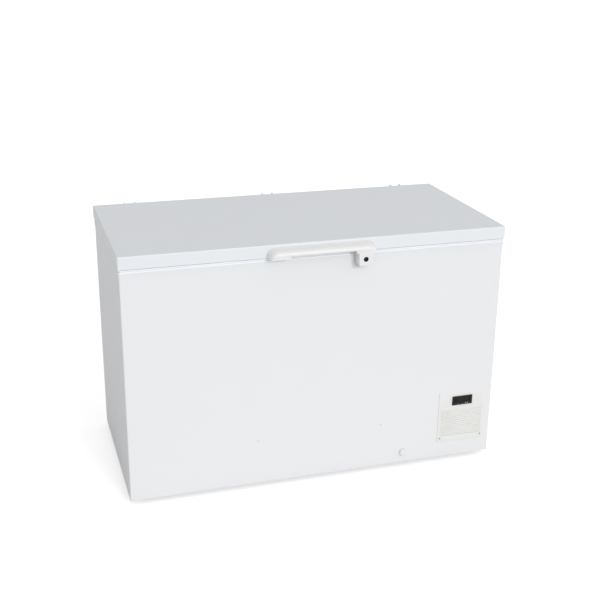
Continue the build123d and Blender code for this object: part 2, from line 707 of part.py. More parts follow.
def hinge_body(x):
    """Hat-shaped channel on the back, with cheeks for the pin and a guide for the plunger."""
    front = LID_REAR + HINGE_PLATE + SHEET
    inside = HINGE_HALF - HINGE_PLATE
    web = HINGE_REAR - HINGE_PLATE
    channel = block(-HINGE_HALF, HINGE_HALF, BACK, HINGE_REAR, HINGE_LOW, HINGE_FLANGE_TOP)
    channel -= block(-inside, inside, BACK, web, HINGE_LOW + HINGE_PLATE, HINGE_FLANGE_TOP)
    round_top = chamfer(block(-HINGE_HALF, HINGE_HALF, PIN_Y - CHEEK_R, HINGE_REAR, HINGE_FLANGE_TOP,
                              PIN_Z + CHEEK_R).edges().filter_by(Axis.X).group_by(Axis.Z)[-1], CHEEK_CUT)
    neck = round_top - block(-inside, inside, PIN_Y - CHEEK_R, web, HINGE_FLANGE_TOP, PIN_Z + CHEEK_R)
    neck -= block(-inside, inside, web, HINGE_REAR, PIN_Z - CHEEK_CUT, PIN_Z + CHEEK_R)
    flange = HINGE_HALF + HINGE_FLANGE
    flanges = block(-flange, flange, BACK, BACK + HINGE_PLATE, HINGE_LOW, HINGE_FLANGE_TOP)
    flanges -= block(-HINGE_HALF, HINGE_HALF, BACK, BACK + HINGE_PLATE, HINGE_LOW, HINGE_FLANGE_TOP)
    guide = block(-inside, inside, front, web, GUIDE_Z - HINGE_PLATE, GUIDE_Z)
    hole = PLUNGER_HALF + PIN_FIT
    guide -= block(-hole, hole, PLUNGER_Y - hole, PLUNGER_Y + hole, GUIDE_Z - HINGE_PLATE, GUIDE_Z)
    body = channel + neck + flanges + guide
    return Pos(x, 0, 0) * (body - rod_x(PIN_Y, PIN_Z, PIN_R + PIN_FIT, -HINGE_HALF, HINGE_HALF))


def hinge_ear(x):
    """One ear of the lid's leaf, from its plate round the pin and past the roller."""
    root = LID_REAR + HINGE_PLATE
    boss = EAR_BOSS_R
    low = ROLLER_Z - ROLLER_R
    outline = make_face(Polyline((root, PIN_Z + boss), (root, low), (ROLLER_Y, low),
                                 (PIN_Y + boss / 2, PIN_Z - boss), (PIN_Y + boss, PIN_Z - boss / 2),
                                 (PIN_Y + boss, PIN_Z + boss / 2), (PIN_Y + boss / 2, PIN_Z + boss),
                                 close=True))
    return side_profile(outline - Pos(PIN_Y, PIN_Z) * Circle(PIN_R + PIN_FIT), x, x + EAR)


def hinge_leaf(x):
    """Leaf on the lid's rear edge, with two ears for the pin."""
    plate = block(-LEAF_HALF, LEAF_HALF, LID_REAR, LID_REAR + HINGE_PLATE, LID_LOW + LEAF_BOTTOM_RISE,
                  LID_TOP - LEAF_TOP_DROP)
    return Pos(x, 0, 0) * (plate + hinge_ear(-EAR_OUT) + hinge_ear(EAR_IN))


def hinge_pin(x):
    """Pin through the cheeks and ears, with a hexagon head and nut."""
    pin = rod_x(PIN_Y, PIN_Z, PIN_R, x - HINGE_HALF, x + HINGE_HALF)
    head = Pos(0, PIN_Y, PIN_Z) * Rot(0, 90, 0) * extrude(RegularPolygon(PIN_HEAD_R, 6), amount=PIN_HEAD)
    return pin + Pos(x + HINGE_HALF, 0, 0) * head + Pos(x - HINGE_HALF - PIN_HEAD, 0, 0) * head


def hinge_roller(x):
    """Roller between the ears that holds the plunger down while the lid is shut."""
    return rod_x(ROLLER_Y, ROLLER_Z, ROLLER_R, x - EAR_IN, x + EAR_IN)


def hinge_plunger(x):
    """Sprung plunger: a head under the roller, a square rod through the guide and a spring seat."""
    front = LID_REAR + HINGE_PLATE + SHEET_MARGIN
    back = PIN_Y - PIN_R - ROLLER_GAP
    head_low = HEAD_TOP - PLUNGER_HEAD
    head = block(x - PLUNGER_HEAD_HALF, x + PLUNGER_HEAD_HALF, front, back, head_low, HEAD_TOP)
    half = PLUNGER_HALF
    rod = block(x - half, x + half, PLUNGER_Y - half, PLUNGER_Y + half, SEAT_TOP, head_low)
    half = PLUNGER_SEAT_HALF
    return head + rod + block(x - half, x + half, PLUNGER_Y - half, PLUNGER_Y + half,
                              SEAT_TOP - PLUNGER_SEAT, SEAT_TOP)


def hinge_spring(x):
    """Coil spring between the channel's floor and the plunger's seat."""
    end = SPRING_WIRE / 2 + SPRING_GAP
    low = HINGE_LOW + HINGE_PLATE + end
    rise = (SEAT_TOP - PLUNGER_SEAT - end - low) / (SPRING_TURNS * SPRING_SIDES)
    turn = 2 * pi / SPRING_SIDES
    path = Polyline(*[(SPRING_R * cos(i * turn), SPRING_R * sin(i * turn), i * rise)
                      for i in range(SPRING_TURNS * SPRING_SIDES + 1)])
    wire = Plane(origin=path @ 0, z_dir=path % 0) * Rectangle(SPRING_WIRE, SPRING_WIRE)
    return Pos(x, PLUNGER_Y, low) * sweep(wire, path=path, transition=Transition.RIGHT)


# Control panel

PANEL_FRONT = -CABINET_Y - PANEL_PROUD
BEZEL_FRONT = PANEL_FRONT - BEZEL
WINDOW_HIGH = CONTROLLER_Z + BEZEL_HEIGHT / 2 - WINDOW_TOP_MARGIN
KEY_LOW = CONTROLLER_Z - BEZEL_HEIGHT / 2 + KEY_RISE


def control_panel():
    """Moulded panel with an air grille of slanted blades and the controller's opening."""
    plate = block(PANEL_X - PANEL_HALF, PANEL_X + PANEL_HALF, PANEL_FRONT, -CABINET_Y, PANEL_LOW, PANEL_HIGH)
    plate = fillet(plate.edges().filter_by(Axis.Y), PANEL_CORNER)
    plate = chamfer(plate.faces().sort_by(Axis.Y)[0].edges(), PANEL_EDGE)
    x0, x1, z0, z1 = panel_hole(PANEL_RIM_FIT)
    rim = block(x0, x1, -CABINET_Y, PANEL_RIM_DEPTH - CABINET_Y, z0, z1)
    rim -= block(x0 + PANEL_RIM, x1 - PANEL_RIM, -CABINET_Y, PANEL_RIM_DEPTH - CABINET_Y,
                 z0 + PANEL_RIM, z1 - PANEL_RIM)
    grille_high = GRILLE_LOW + GRILLE_BLADES * GRILLE_PITCH
    left = PANEL_X - GRILLE_HALF
    right = PANEL_X + GRILLE_HALF
    panel = plate + rim
    panel -= block(left, right, PANEL_FRONT, PANEL_RIM_DEPTH - CABINET_Y, GRILLE_LOW, grille_high)
    panel -= block(PANEL_X - HOUSING_WIDTH / 2, PANEL_X + HOUSING_WIDTH / 2, PANEL_FRONT, -CABINET_Y,
                   CONTROLLER_Z - HOUSING_HEIGHT / 2, CONTROLLER_Z + HOUSING_HEIGHT / 2)
    face = GRILLE_PITCH - BLADE_GAP
    back = PANEL_FRONT + BLADE_DEPTH
    blade = side_profile(make_face(Polyline((PANEL_FRONT, 0), (PANEL_FRONT, face), (back, face + BLADE_RISE),
                                            (back, BLADE_RISE), close=True)), left, right)
    for i in range(GRILLE_BLADES):
        panel += Pos(0, 0, GRILLE_LOW + BLADE_GAP / 2 + i * GRILLE_PITCH) * blade
    return panel


def controller_housing():
    """Body of the temperature controller behind the panel."""
    half = HOUSING_WIDTH / 2 - PLUG_FIT
    rise = HOUSING_HEIGHT / 2 - PLUG_FIT
    return block(PANEL_X - half, PANEL_X + half, PANEL_FRONT, PANEL_FRONT + HOUSING_DEPTH,
                 CONTROLLER_Z - rise, CONTROLLER_Z + rise)


def key_place(i):
    """Middle of one key along the bezel."""
    return PANEL_X + (i - (KEY_COUNT - 1) / 2) * KEY_PITCH


def display_window():
    """Dark window over the digits."""
    half = BEZEL_WIDTH / 2 - WINDOW_MARGIN
    return block(PANEL_X - half, PANEL_X + half, BEZEL_FRONT + WINDOW_SET_BACK, PANEL_FRONT,
                 WINDOW_HIGH - WINDOW_HEIGHT, WINDOW_HIGH)


def controller_bezel():
    """Front frame of the controller, with openings for the window and the keys."""
    low = CONTROLLER_Z - BEZEL_HEIGHT / 2
    bezel = block(PANEL_X - BEZEL_WIDTH / 2, PANEL_X + BEZEL_WIDTH / 2, BEZEL_FRONT, PANEL_FRONT,
                  low, low + BEZEL_HEIGHT)
    bezel = chamfer(bezel.faces().sort_by(Axis.Y)[0].edges(), PANEL_EDGE)
    half = BEZEL_WIDTH / 2 - WINDOW_MARGIN
    bezel -= block(PANEL_X - half, PANEL_X + half, BEZEL_FRONT, PANEL_FRONT,
                   WINDOW_HIGH - WINDOW_HEIGHT, WINDOW_HIGH)
    side = KEY_WIDTH / 2 + KEY_GAP
    for i in range(KEY_COUNT):
        x = key_place(i)
        bezel -= block(x - side, x + side, BEZEL_FRONT, PANEL_FRONT, KEY_LOW - KEY_GAP,
                       KEY_LOW + KEY_HEIGHT + KEY_GAP)
    return bezel


def key(i):
    """One push key of the controller."""
    x = key_place(i)
    cap = block(x - KEY_WIDTH / 2, x + KEY_WIDTH / 2, BEZEL_FRONT - KEY_PROUD,
                PANEL_FRONT - KEY_TRAVEL - KEY_GAP, KEY_LOW, KEY_LOW + KEY_HEIGHT)
    return chamfer(cap.faces().sort_by(Axis.Y)[0].edges(), KEY_PROUD / 2)


# Machine bay

SHELL_LOW = TRAY_TOP + GROMMET_HEIGHT + FOOT_PLATE
CONDENSER_TOP = TRAY_TOP + CONDENSER_HEIGHT
FAN_Z = TRAY_TOP + CONDENSER_HEIGHT / 2
SHROUD_FRONT = CONDENSER_Y + FIN_DEPTH / 2 + SHROUD_GAP
FAN_FRONT = SHROUD_FRONT + SHROUD + FAN_TIP_GAP
MOTOR_FRONT = FAN_FRONT + FAN_DEPTH + FAN_TIP_GAP
LEFT_HEADER = CONDENSER_X - CONDENSER_HALF
RIGHT_HEADER = CONDENSER_X + CONDENSER_HALF


def compressor():
    """Welded compressor shell on its foot plate."""
    r = COMPRESSOR_R
    h = COMPRESSOR_HEIGHT
    outline = Polyline((0, 0), (0.8 * r, 0), (r, 0.12 * h), (r, 0.68 * h), (0.8 * r, 0.88 * h),
                       (0.3 * r, h), (0, h), close=True)
    shell = revolve(Plane.XZ * make_face(outline), Axis.Z)
    plate = Pos(0, 0, -FOOT_PLATE / 2) * Box(FOOT_PLATE_X, FOOT_PLATE_Y, FOOT_PLATE)
    return Pos(COMPRESSOR_X, COMPRESSOR_Y, SHELL_LOW) * (shell + plate)


def compressor_grommets():
    """Four rubber grommets between the foot plate and the tray."""
    x = FOOT_PLATE_X / 2 - GROMMET_R
    y = FOOT_PLATE_Y / 2 - GROMMET_R
    grommet = extrude(RegularPolygon(GROMMET_R, TUBE_SIDES), amount=GROMMET_HEIGHT)
    return [Pos(COMPRESSOR_X + i * x, COMPRESSOR_Y + j * y, TRAY_TOP) * grommet
            for i in (-1, 1) for j in (-1, 1)]


def terminal_cover():
    """Cover over the compressor's terminals, on the shell's left side."""
    reach = COMPRESSOR_X - COMPRESSOR_R
    middle = SHELL_LOW + 0.4 * COMPRESSOR_HEIGHT
    cover = block(reach - DRIER_R, reach + DRIER_R, COMPRESSOR_Y - BUNG_R * 2, COMPRESSOR_Y + BUNG_R * 2,
                  middle - 2 * BUNG_R, middle + 2 * BUNG_R)
    shell = rod_z(COMPRESSOR_X, COMPRESSOR_Y, COMPRESSOR_R + PLUG_FIT, SHELL_LOW, SHELL_LOW + COMPRESSOR_HEIGHT)
    return cover - shell


def tube_levels():
    """Levels of the condenser's flat tubes."""
    step = CONDENSER_HEIGHT / (FLAT_TUBES + 1)
    return [TRAY_TOP + step * (i + 1) for i in range(FLAT_TUBES)]


def condenser_tubes():
    """Two square headers joined by flat tubes."""
    core = None
    for x in (LEFT_HEADER, RIGHT_HEADER):
        header = block(x - HEADER_HALF, x + HEADER_HALF, CONDENSER_Y - HEADER_HALF, CONDENSER_Y + HEADER_HALF,
                       TRAY_TOP, CONDENSER_TOP)
        core = header if core is None else core + header
    half = FLAT_TUBE_DEPTH / 2
    for z in tube_levels():
        core += block(LEFT_HEADER, RIGHT_HEADER, CONDENSER_Y - half, CONDENSER_Y + half, z, z + FLAT_TUBE)
    return core


def condenser_fins():
    """Upright fins pressed over the flat tubes."""
    step = (2 * CONDENSER_HALF - 4 * HEADER_HALF) / (FINS - 1)
    half = FIN_DEPTH / 2
    fins = []
    for i in range(FINS):
        x = LEFT_HEADER + 2 * HEADER_HALF + i * step
        fins.append(block(x - FIN_THICK / 2, x + FIN_THICK / 2, CONDENSER_Y - half, CONDENSER_Y + half,
                          TRAY_TOP, CONDENSER_TOP))
    return fins


def fan_shroud():
    """Sheet behind the condenser with the fan's ring."""
    ring_r = FAN_R + FAN_TIP_GAP
    back = FAN_FRONT + FAN_DEPTH / 2
    plate = block(LEFT_HEADER, RIGHT_HEADER, SHROUD_FRONT, SHROUD_FRONT + SHROUD, TRAY_TOP, CONDENSER_TOP)
    ring = rod_y(CONDENSER_X, FAN_Z, ring_r + SHROUD, SHROUD_FRONT, back)
    return plate + ring - rod_y(CONDENSER_X, FAN_Z, ring_r, SHROUD_FRONT, back)


def fan_blade():
    """Axial fan wheel: pitched blades on a hub."""
    middle = FAN_FRONT + FAN_DEPTH / 2
    hub = Rot(-90, 0, 0) * extrude(RegularPolygon(HUB_R, FOOT_SIDES), amount=FAN_DEPTH)
    wheel = Pos(0, FAN_FRONT, 0) * hub
    length = FAN_TIP_R - HUB_R / 2
    blade = Pos(FAN_TIP_R - length / 2, middle, 0) * Rot(FAN_PITCH, 0, 0) * Box(length, SHROUD, FAN_CHORD)
    for i in range(FAN_BLADES):
        wheel += Rot(0, i * 360 / FAN_BLADES, 0) * blade
    wheel -= rod_y(0, 0, SHAFT_R + PIN_FIT, FAN_FRONT, FAN_FRONT + FAN_DEPTH)
    return Pos(CONDENSER_X, 0, FAN_Z) * wheel


def fan_motor():
    """Fan motor on its bracket, with the shaft through the wheel's hub."""
    motor = rod_y(CONDENSER_X, FAN_Z, MOTOR_R, MOTOR_FRONT, MOTOR_FRONT + MOTOR_LENGTH)
    motor += rod_y(CONDENSER_X, FAN_Z, SHAFT_R, FAN_FRONT, MOTOR_FRONT)
    half = MOTOR_R / 2
    leg = block(CONDENSER_X - half, CONDENSER_X + half, MOTOR_FRONT + half, MOTOR_FRONT + half + SHROUD,
                TRAY_TOP, FAN_Z)
    foot = block(CONDENSER_X - half, CONDENSER_X + half, MOTOR_FRONT + half,
                 MOTOR_FRONT + 2 * half, TRAY_TOP, TRAY_TOP + SHROUD)
    return motor + leg + foot


def filter_drier():
    """Drier canister on a clip from the bay's wall."""
    low = TRAY_TOP + 2 * LINE_STEP
    body = rod_z(DRIER_X, DRIER_Y, DRIER_R, low, low + DRIER_LENGTH)
    middle = low + DRIER_LENGTH / 2
    return body + block(BAY_X, DRIER_X, DRIER_Y - SHROUD, DRIER_Y + SHROUD, middle - DRIER_R, middle + DRIER_R)


def discharge_line():
    """Tube from the compressor up and forward to the right header."""
    x = COMPRESSOR_X + COMPRESSOR_R
    z = SHELL_LOW + COMPRESSOR_HEIGHT / 2
    side = x + 2.5 * LINE_STEP
    points = [(x, COMPRESSOR_Y, z), (side, COMPRESSOR_Y, z), (side, COMPRESSOR_Y, LINE_LEVEL),
              (RIGHT_HEADER, CONDENSER_Y, LINE_LEVEL), (RIGHT_HEADER, CONDENSER_Y, CONDENSER_TOP)]
    return bent_tube(points, LINE_R)


def liquid_line():
    """Tube from the left header back to the drier's top."""
    drier_top = TRAY_TOP + 2 * LINE_STEP + DRIER_LENGTH
    points = [(LEFT_HEADER, CONDENSER_Y, CONDENSER_TOP), (LEFT_HEADER, CONDENSER_Y, LINE_LEVEL),
              (DRIER_X, DRIER_Y, LINE_LEVEL), (DRIER_X, DRIER_Y, drier_top)]
    return bent_tube(points, LINE_R)


def capillary_tube():
    """Fine tube from the drier's foot into the insulated wall."""
    low = TRAY_TOP + LINE_STEP / 2
    points = [(DRIER_X, DRIER_Y, TRAY_TOP + 2 * LINE_STEP), (DRIER_X, DRIER_Y, low), (BAY_X, DRIER_Y, low)]
    return bent_tube(points, CAPILLARY_R)


def suction_line():
    """Tube from the insulated wall down to the compressor's back."""
    y = COMPRESSOR_Y + COMPRESSOR_R
    z = SHELL_LOW + COMPRESSOR_HEIGHT / 2
    back = y + 2 * LINE_STEP
    level = LINE_LEVEL + 2 * LINE_STEP
    points = [(BAY_X, back, level), (COMPRESSOR_X, back, level), (COMPRESSOR_X, back, z), (COMPRESSOR_X, y, z)]
    return bent_tube(points, SUCTION_R)


def electrical_box():
    """Box of relays and terminals, standing on the tray at the right."""
    x1 = CABINET_X - 2 * SHEET - PAN_MARGIN
    y0 = MOTOR_FRONT + MOTOR_R
    box = block(x1 - BOX_WIDTH, x1, y0, y0 + BOX_DEPTH, TRAY_TOP, TRAY_TOP + BOX_HEIGHT)
    lid = block(x1 - BOX_WIDTH - SHEET, x1 + SHEET, y0 - SHEET, y0 + BOX_DEPTH + SHEET,
                TRAY_TOP + BOX_HEIGHT - HEADER_HALF, TRAY_TOP + BOX_HEIGHT + SHEET)
    return box + lid


def inlet_form(grow):
    """The inlet's body behind the vent cover, grown by a gap."""
    half = INLET_HALF + grow
    rise = INLET_RISE + grow
    return INLET_X - half, INLET_X + half, INLET_Z - rise, INLET_Z + rise


def rear_vent_cover():
    """Louvred steel cover over the back of the machine bay."""
    x0, x1, z0, z1 = vent_hole(VENT_LAP)
    front = BACK + VENT_COVER
    cover = block(x0, x1, BACK, front, z0, z1)
    middle = (x0 + x1) / 2
    width = (x1 - x0) / 2 - 2 * VENT_LAP - VENT_MARGIN / 2
    low = INLET_Z + VENT_MARGIN + 2 * VENT_LAP
    step = (z1 - VENT_LAP - VENT_MARGIN - low) / (VENT_SLOTS - 1)
    hood = Rot(VENT_HOOD_TILT, 0, 0) * block(-width / 2, width / 2, 0, VENT_COVER, -VENT_HOOD, 0)
    for side in (-1, 1):
        x = middle + side * (width + VENT_MARGIN) / 2
        for i in range(VENT_SLOTS):
            z = low + i * step
            cover -= block(x - width / 2, x + width / 2, BACK, front, z - VENT_SLOT, z)
            cover += Pos(x, BACK, z + VENT_COVER / 2) * hood
    hx0, hx1, hz0, hz1 = inlet_form(PLUG_FIT)
    return cover - block(hx0, hx1, BACK, front, hz0, hz1)


def mains_inlet():
    """Appliance inlet in the vent cover."""
    x0, x1, z0, z1 = inlet_form(0)
    face = BACK + VENT_COVER
    front = face + 2 * SHEET
    body = block(x0, x1, face - BUNG_R, front, z0, z1)
    body += block(x0 - DRIER_R, x1 + DRIER_R, face, front, z0, z1)
    wall = 2 * LINER
    socket = block(x0 + wall, x1 - wall, face - BUNG_R + wall, front, z0 + wall, z1 - wall)
    return body - socket


save("cabinet_wrapper", cabinet_wrapper())
save("back_panel", back_panel())
save("base_pan", base_pan())
save("compressor_tray", compressor_tray())
save("bay_shell", bay_shell())
save("inner_liner", inner_liner())
save("evaporator_coil", evaporator_coil())
save("foam_body", foam_body())
save("top_frame", top_frame())
save("feet", *feet())
save("probe_cover", probe_cover())
save("drain_tube", drain_tube())
save("drain_escutcheon", drain_escutcheon())
save("drain_cap", drain_cap())
save("drain_bung", drain_bung())
save("lid_skin", lid_skin())
save("lid_liner", lid_liner())
save("lid_foam", lid_foam())
save("gasket", gasket())
save("handle", handle())
save("lock_housing", lock_housing())
save("lock_cylinder", lock_cylinder())
save("lock_cam", lock_cam())
save("lock_keeper", lock_keeper())
save("hinge_bodies", *[hinge_body(x) for x in HINGE_XS])
save("hinge_leaves", *[hinge_leaf(x) for x in HINGE_XS])
save("hinge_pins", *[hinge_pin(x) for x in HINGE_XS])
save("hinge_rollers", *[hinge_roller(x) for x in HINGE_XS])
save("hinge_plungers", *[hinge_plunger(x) for x in HINGE_XS])
save("hinge_springs", *[hinge_spring(x) for x in HINGE_XS])
save("control_panel", control_panel())
save("controller_housing", controller_housing())
save("controller_bezel", controller_bezel())
save("display_window", display_window())
for number in range(KEY_COUNT):
    save("key_" + str(number + 1), key(number))
save("compressor", compressor())
save("compressor_grommets", *compressor_grommets())
save("terminal_cover", terminal_cover())
save("condenser_tubes", condenser_tubes())
save("condenser_fins", *condenser_fins())
save("fan_shroud", fan_shroud())
save("fan_blade", fan_blade())
save("fan_motor", fan_motor())
save("filter_drier", filter_drier())
save("discharge_line", discharge_line())
save("liquid_line", liquid_line())
save("capillary_tube", capillary_tube())
save("suction_line", suction_line())
save("electrical_box", electrical_box())
save("rear_vent_cover", rear_vent_cover())
save("mains_inlet", mains_inlet())
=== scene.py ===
from math import pi, radians

import bmesh
import bpy
from mathutils import Matrix, Vector


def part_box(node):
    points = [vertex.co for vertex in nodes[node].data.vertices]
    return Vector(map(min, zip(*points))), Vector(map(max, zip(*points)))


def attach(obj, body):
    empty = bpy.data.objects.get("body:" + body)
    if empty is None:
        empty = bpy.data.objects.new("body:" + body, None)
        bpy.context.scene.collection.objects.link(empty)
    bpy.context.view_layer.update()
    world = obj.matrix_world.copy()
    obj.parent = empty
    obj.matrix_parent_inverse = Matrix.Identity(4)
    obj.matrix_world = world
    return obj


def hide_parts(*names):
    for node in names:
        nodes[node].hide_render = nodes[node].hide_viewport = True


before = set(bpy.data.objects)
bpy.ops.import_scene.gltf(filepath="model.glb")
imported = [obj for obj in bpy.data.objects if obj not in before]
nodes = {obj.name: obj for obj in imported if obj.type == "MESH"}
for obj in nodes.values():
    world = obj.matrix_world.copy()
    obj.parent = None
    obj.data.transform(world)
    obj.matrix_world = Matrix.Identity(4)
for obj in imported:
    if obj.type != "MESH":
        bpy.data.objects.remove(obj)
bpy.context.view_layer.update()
scene = bpy.context.scene

# Metres, in the same frame as the solids: +Z up, the front at -Y, the machine bay at +X.
MM = 0.001

# The view: focal length and sensor in millimetres, place in metres, turns in degrees.
LENS, SENSOR = 61.66, 36.0
CAMERA_PLACE = (-0.997, -3.28609, 1.8057)
PAN, DOWN, ROLL = -17.31, 20.09, 0.58

# The light: where it comes from, and the room's colour on its dim and its bright side.
SUN_FROM = (0.27, -1.0, 0.42)
SUN_STRENGTH, SUN_SIZE = 0.95, 14
BRIGHT_SIDE = (0.45, -0.8, 0.25)
ROOM_SPREAD = 0.95
ROOM_DIM = (0.44, 0.437, 0.428, 1)
ROOM_BRIGHT = (0.92, 0.924, 0.934, 1)
FLOOR_COLOUR = (0.80, 0.80, 0.80, 1)
FLOOR_GLOW = 0.48


# Camera, floor and light

def place_camera():
    """A camera at the viewing angle, in front of the freezer and to its left."""
    data = bpy.data.cameras.new("camera")
    data.lens = LENS
    data.sensor_width = SENSOR
    camera = bpy.data.objects.new("camera", data)
    scene.collection.objects.link(camera)
    aim = (Matrix.Rotation(radians(PAN), 4, "Z") @ Matrix.Rotation(radians(90 - DOWN), 4, "X")
           @ Matrix.Rotation(radians(ROLL), 4, "Z"))
    camera.matrix_world = Matrix.Translation(CAMERA_PLACE) @ aim
    scene.camera = camera


def lay_floor():
    """A plain pale floor that reads as white to the camera and keeps the freezer's soft shadow."""
    clear_selection()
    bpy.ops.mesh.primitive_plane_add(size=60)
    floor = bpy.context.object
    floor.name = "floor"
    material = bpy.data.materials.new("pale_floor")
    material.use_nodes = True
    tree = material.node_tree
    shader = tree.nodes["Principled BSDF"]
    shader.inputs["Base Color"].default_value = FLOOR_COLOUR
    shader.inputs["Roughness"].default_value = 0.9
    shader.inputs["Specular IOR Level"].default_value = 0.0
    shader.inputs["Emission Color"].default_value = (1, 1, 1, 1)
    path = tree.nodes.new("ShaderNodeLightPath")
    seen = tree.nodes.new("ShaderNodeMath")
    seen.operation = "MULTIPLY"
    seen.inputs[1].default_value = FLOOR_GLOW
    tree.links.new(path.outputs["Is Camera Ray"], seen.inputs[0])
    tree.links.new(seen.outputs[0], shader.inputs["Emission Strength"])
    floor.data.materials.append(material)


def light_studio():
    """Soft daylight from the front right, a room brighter on that side, and white past the floor."""
    sun = bpy.data.lights.new("window_light", "SUN")
    sun.energy = SUN_STRENGTH
    sun.angle = radians(SUN_SIZE)
    lamp = bpy.data.objects.new("window_light", sun)
    scene.collection.objects.link(lamp)
    lamp.rotation_euler = Vector(SUN_FROM).to_track_quat("Z", "Y").to_euler()

    world = bpy.data.worlds.new("studio")
    scene.world = world
    world.use_nodes = True
    tree = world.node_tree
    room = tree.nodes["Background"]
    white = tree.nodes.new("ShaderNodeBackground")
    white.inputs["Color"].default_value = (1, 1, 1, 1)
    direction = tree.nodes.new("ShaderNodeTexCoord")
    towards = tree.nodes.new("ShaderNodeVectorMath")
    towards.operation = "DOT_PRODUCT"
    towards.inputs[1].default_value = BRIGHT_SIDE
    across = tree.nodes.new("ShaderNodeMapRange")
    across.inputs["From Min"].default_value = -ROOM_SPREAD
    across.inputs["From Max"].default_value = ROOM_SPREAD
    tint = tree.nodes.new("ShaderNodeMix")
    tint.data_type = "RGBA"
    tint.inputs["A"].default_value = ROOM_DIM
    tint.inputs["B"].default_value = ROOM_BRIGHT
    tree.links.new(direction.outputs["Generated"], towards.inputs[0])
    tree.links.new(towards.outputs["Value"], across.inputs["Value"])
    tree.links.new(across.outputs["Result"], tint.inputs["Factor"])
    tree.links.new(tint.outputs["Result"], room.inputs["Color"])
    path = tree.nodes.new("ShaderNodeLightPath")
    choice = tree.nodes.new("ShaderNodeMixShader")
    tree.links.new(path.outputs["Is Camera Ray"], choice.inputs[0])
    tree.links.new(room.outputs[0], choice.inputs[1])
    tree.links.new(white.outputs[0], choice.inputs[2])
    tree.links.new(choice.outputs[0], tree.nodes["World Output"].inputs["Surface"])
    scene.view_settings.view_transform = "Standard"


# Modelling helpers

def clear_selection():
    """Leave edit mode with nothing selected."""
    if bpy.context.object and bpy.context.object.mode != "OBJECT":
        bpy.ops.object.mode_set(mode="OBJECT")
    bpy.ops.object.select_all(action="DESELECT")


def fix_place():
    """Move the piece's place, turn and size into its mesh."""
    bpy.ops.object.transform_apply(location=True, rotation=True, scale=True)


def start_block(name, x0, x1, y0, y1, z0, z1):
    """A box between two corners, ready to be shaped."""
    clear_selection()
    centre = ((x0 + x1) / 2, (y0 + y1) / 2, (z0 + z1) / 2)
    bpy.ops.mesh.primitive_cube_add(size=1, location=centre, scale=(x1 - x0, y1 - y0, z1 - z0))
    piece = bpy.context.object
    piece.name = name
    fix_place()
    return piece


def start_rod(name, radius, start, end, sides=48):
    """A round bar from one point to another, ready to be shaped."""
    clear_selection()
    a, b = Vector(start), Vector(end)
    turn = (b - a).to_track_quat("Z", "Y").to_euler()
    bpy.ops.mesh.primitive_cylinder_add(vertices=sides, radius=radius, depth=(b - a).length,
                                        location=(a + b) / 2, rotation=turn)
    piece = bpy.context.object
    piece.name = name
    fix_place()
    return piece


def choose_faces(piece, test):
    """In edit mode, select the faces whose centre and direction pass the test."""
    if piece.mode != "EDIT":
        bpy.ops.object.mode_set(mode="EDIT")
    bpy.ops.mesh.select_mode(type="FACE")
    bpy.ops.mesh.select_all(action="DESELECT")
    mesh = bmesh.from_edit_mesh(piece.data)
    for face in mesh.faces:
        face.select_set(bool(test(face.calc_center_median(), face.normal)))
    bmesh.update_edit_mesh(piece.data)


def choose_edges(piece, test):
    """In edit mode, select the edges whose middle and direction pass the test."""
    if piece.mode != "EDIT":
        bpy.ops.object.mode_set(mode="EDIT")
    bpy.ops.mesh.select_mode(type="EDGE")
    bpy.ops.mesh.select_all(action="DESELECT")
    mesh = bmesh.from_edit_mesh(piece.data)
    for edge in mesh.edges:
        a, b = edge.verts[0].co, edge.verts[1].co
        edge.select_set(bool(test((a + b) / 2, (b - a).normalized())))
    bmesh.update_edit_mesh(piece.data)


def make_active(piece):
    """Select one piece alone and make it the active one."""
    clear_selection()
    piece.select_set(True)
    bpy.context.view_layer.objects.active = piece


def cut_away(piece, *cutters):
    """Take the cutters' forms out of a piece."""
    for cutter in cutters:
        make_active(piece)
        cut = piece.modifiers.new("cut", "BOOLEAN")
        cut.operation = "DIFFERENCE"
        cut.solver = "EXACT"
        cut.object = cutter
        bpy.ops.object.modifier_apply(modifier=cut.name)
        bpy.data.objects.remove(cutter)


def unite(piece, other):
    """Make two overlapping forms one."""
    make_active(piece)
    union = piece.modifiers.new("union", "BOOLEAN")
    union.operation = "UNION"
    union.solver = "EXACT"
    union.object = other
    bpy.ops.object.modifier_apply(modifier=union.name)
    bpy.data.objects.remove(other)


def soften(piece, width, segments=2, angle=30):
    """Round the sharp edges of a piece and shade it smooth between them."""
    make_active(piece)
    bevel = piece.modifiers.new("soften", "BEVEL")
    bevel.width = width
    bevel.segments = segments
    bevel.limit_method = "ANGLE"
    bevel.angle_limit = radians(angle)
    bpy.ops.object.modifier_apply(modifier=bevel.name)
    bpy.ops.object.shade_smooth_by_angle(angle=radians(angle))


def hand_over(piece, body, material):
    """Give a finished piece its material and its body."""
    make_active(piece)
    fix_place()
    piece.data.materials.clear()
    piece.data.materials.append(material)
    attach(piece, body)
    clear_selection()
    return piece


def copy_piece(piece, name, offset, turn=None):
    """A copy with its own mesh, moved and turned in the mesh itself."""
    twin = piece.copy()
    twin.data = piece.data.copy()
    twin.name = name
    scene.collection.objects.link(twin)
    if turn is not None:
        twin.data.transform(turn)
    twin.data.transform(Matrix.Translation(offset))
    return twin


def join_copies(name, copies):
    """Several copies made one piece."""
    make_active(copies[0])
    for piece in copies:
        piece.select_set(True)
    bpy.ops.object.join()
    joined = bpy.context.object
    joined.name = name
    return joined


# Finishes. Each group is an effect that several of them share.

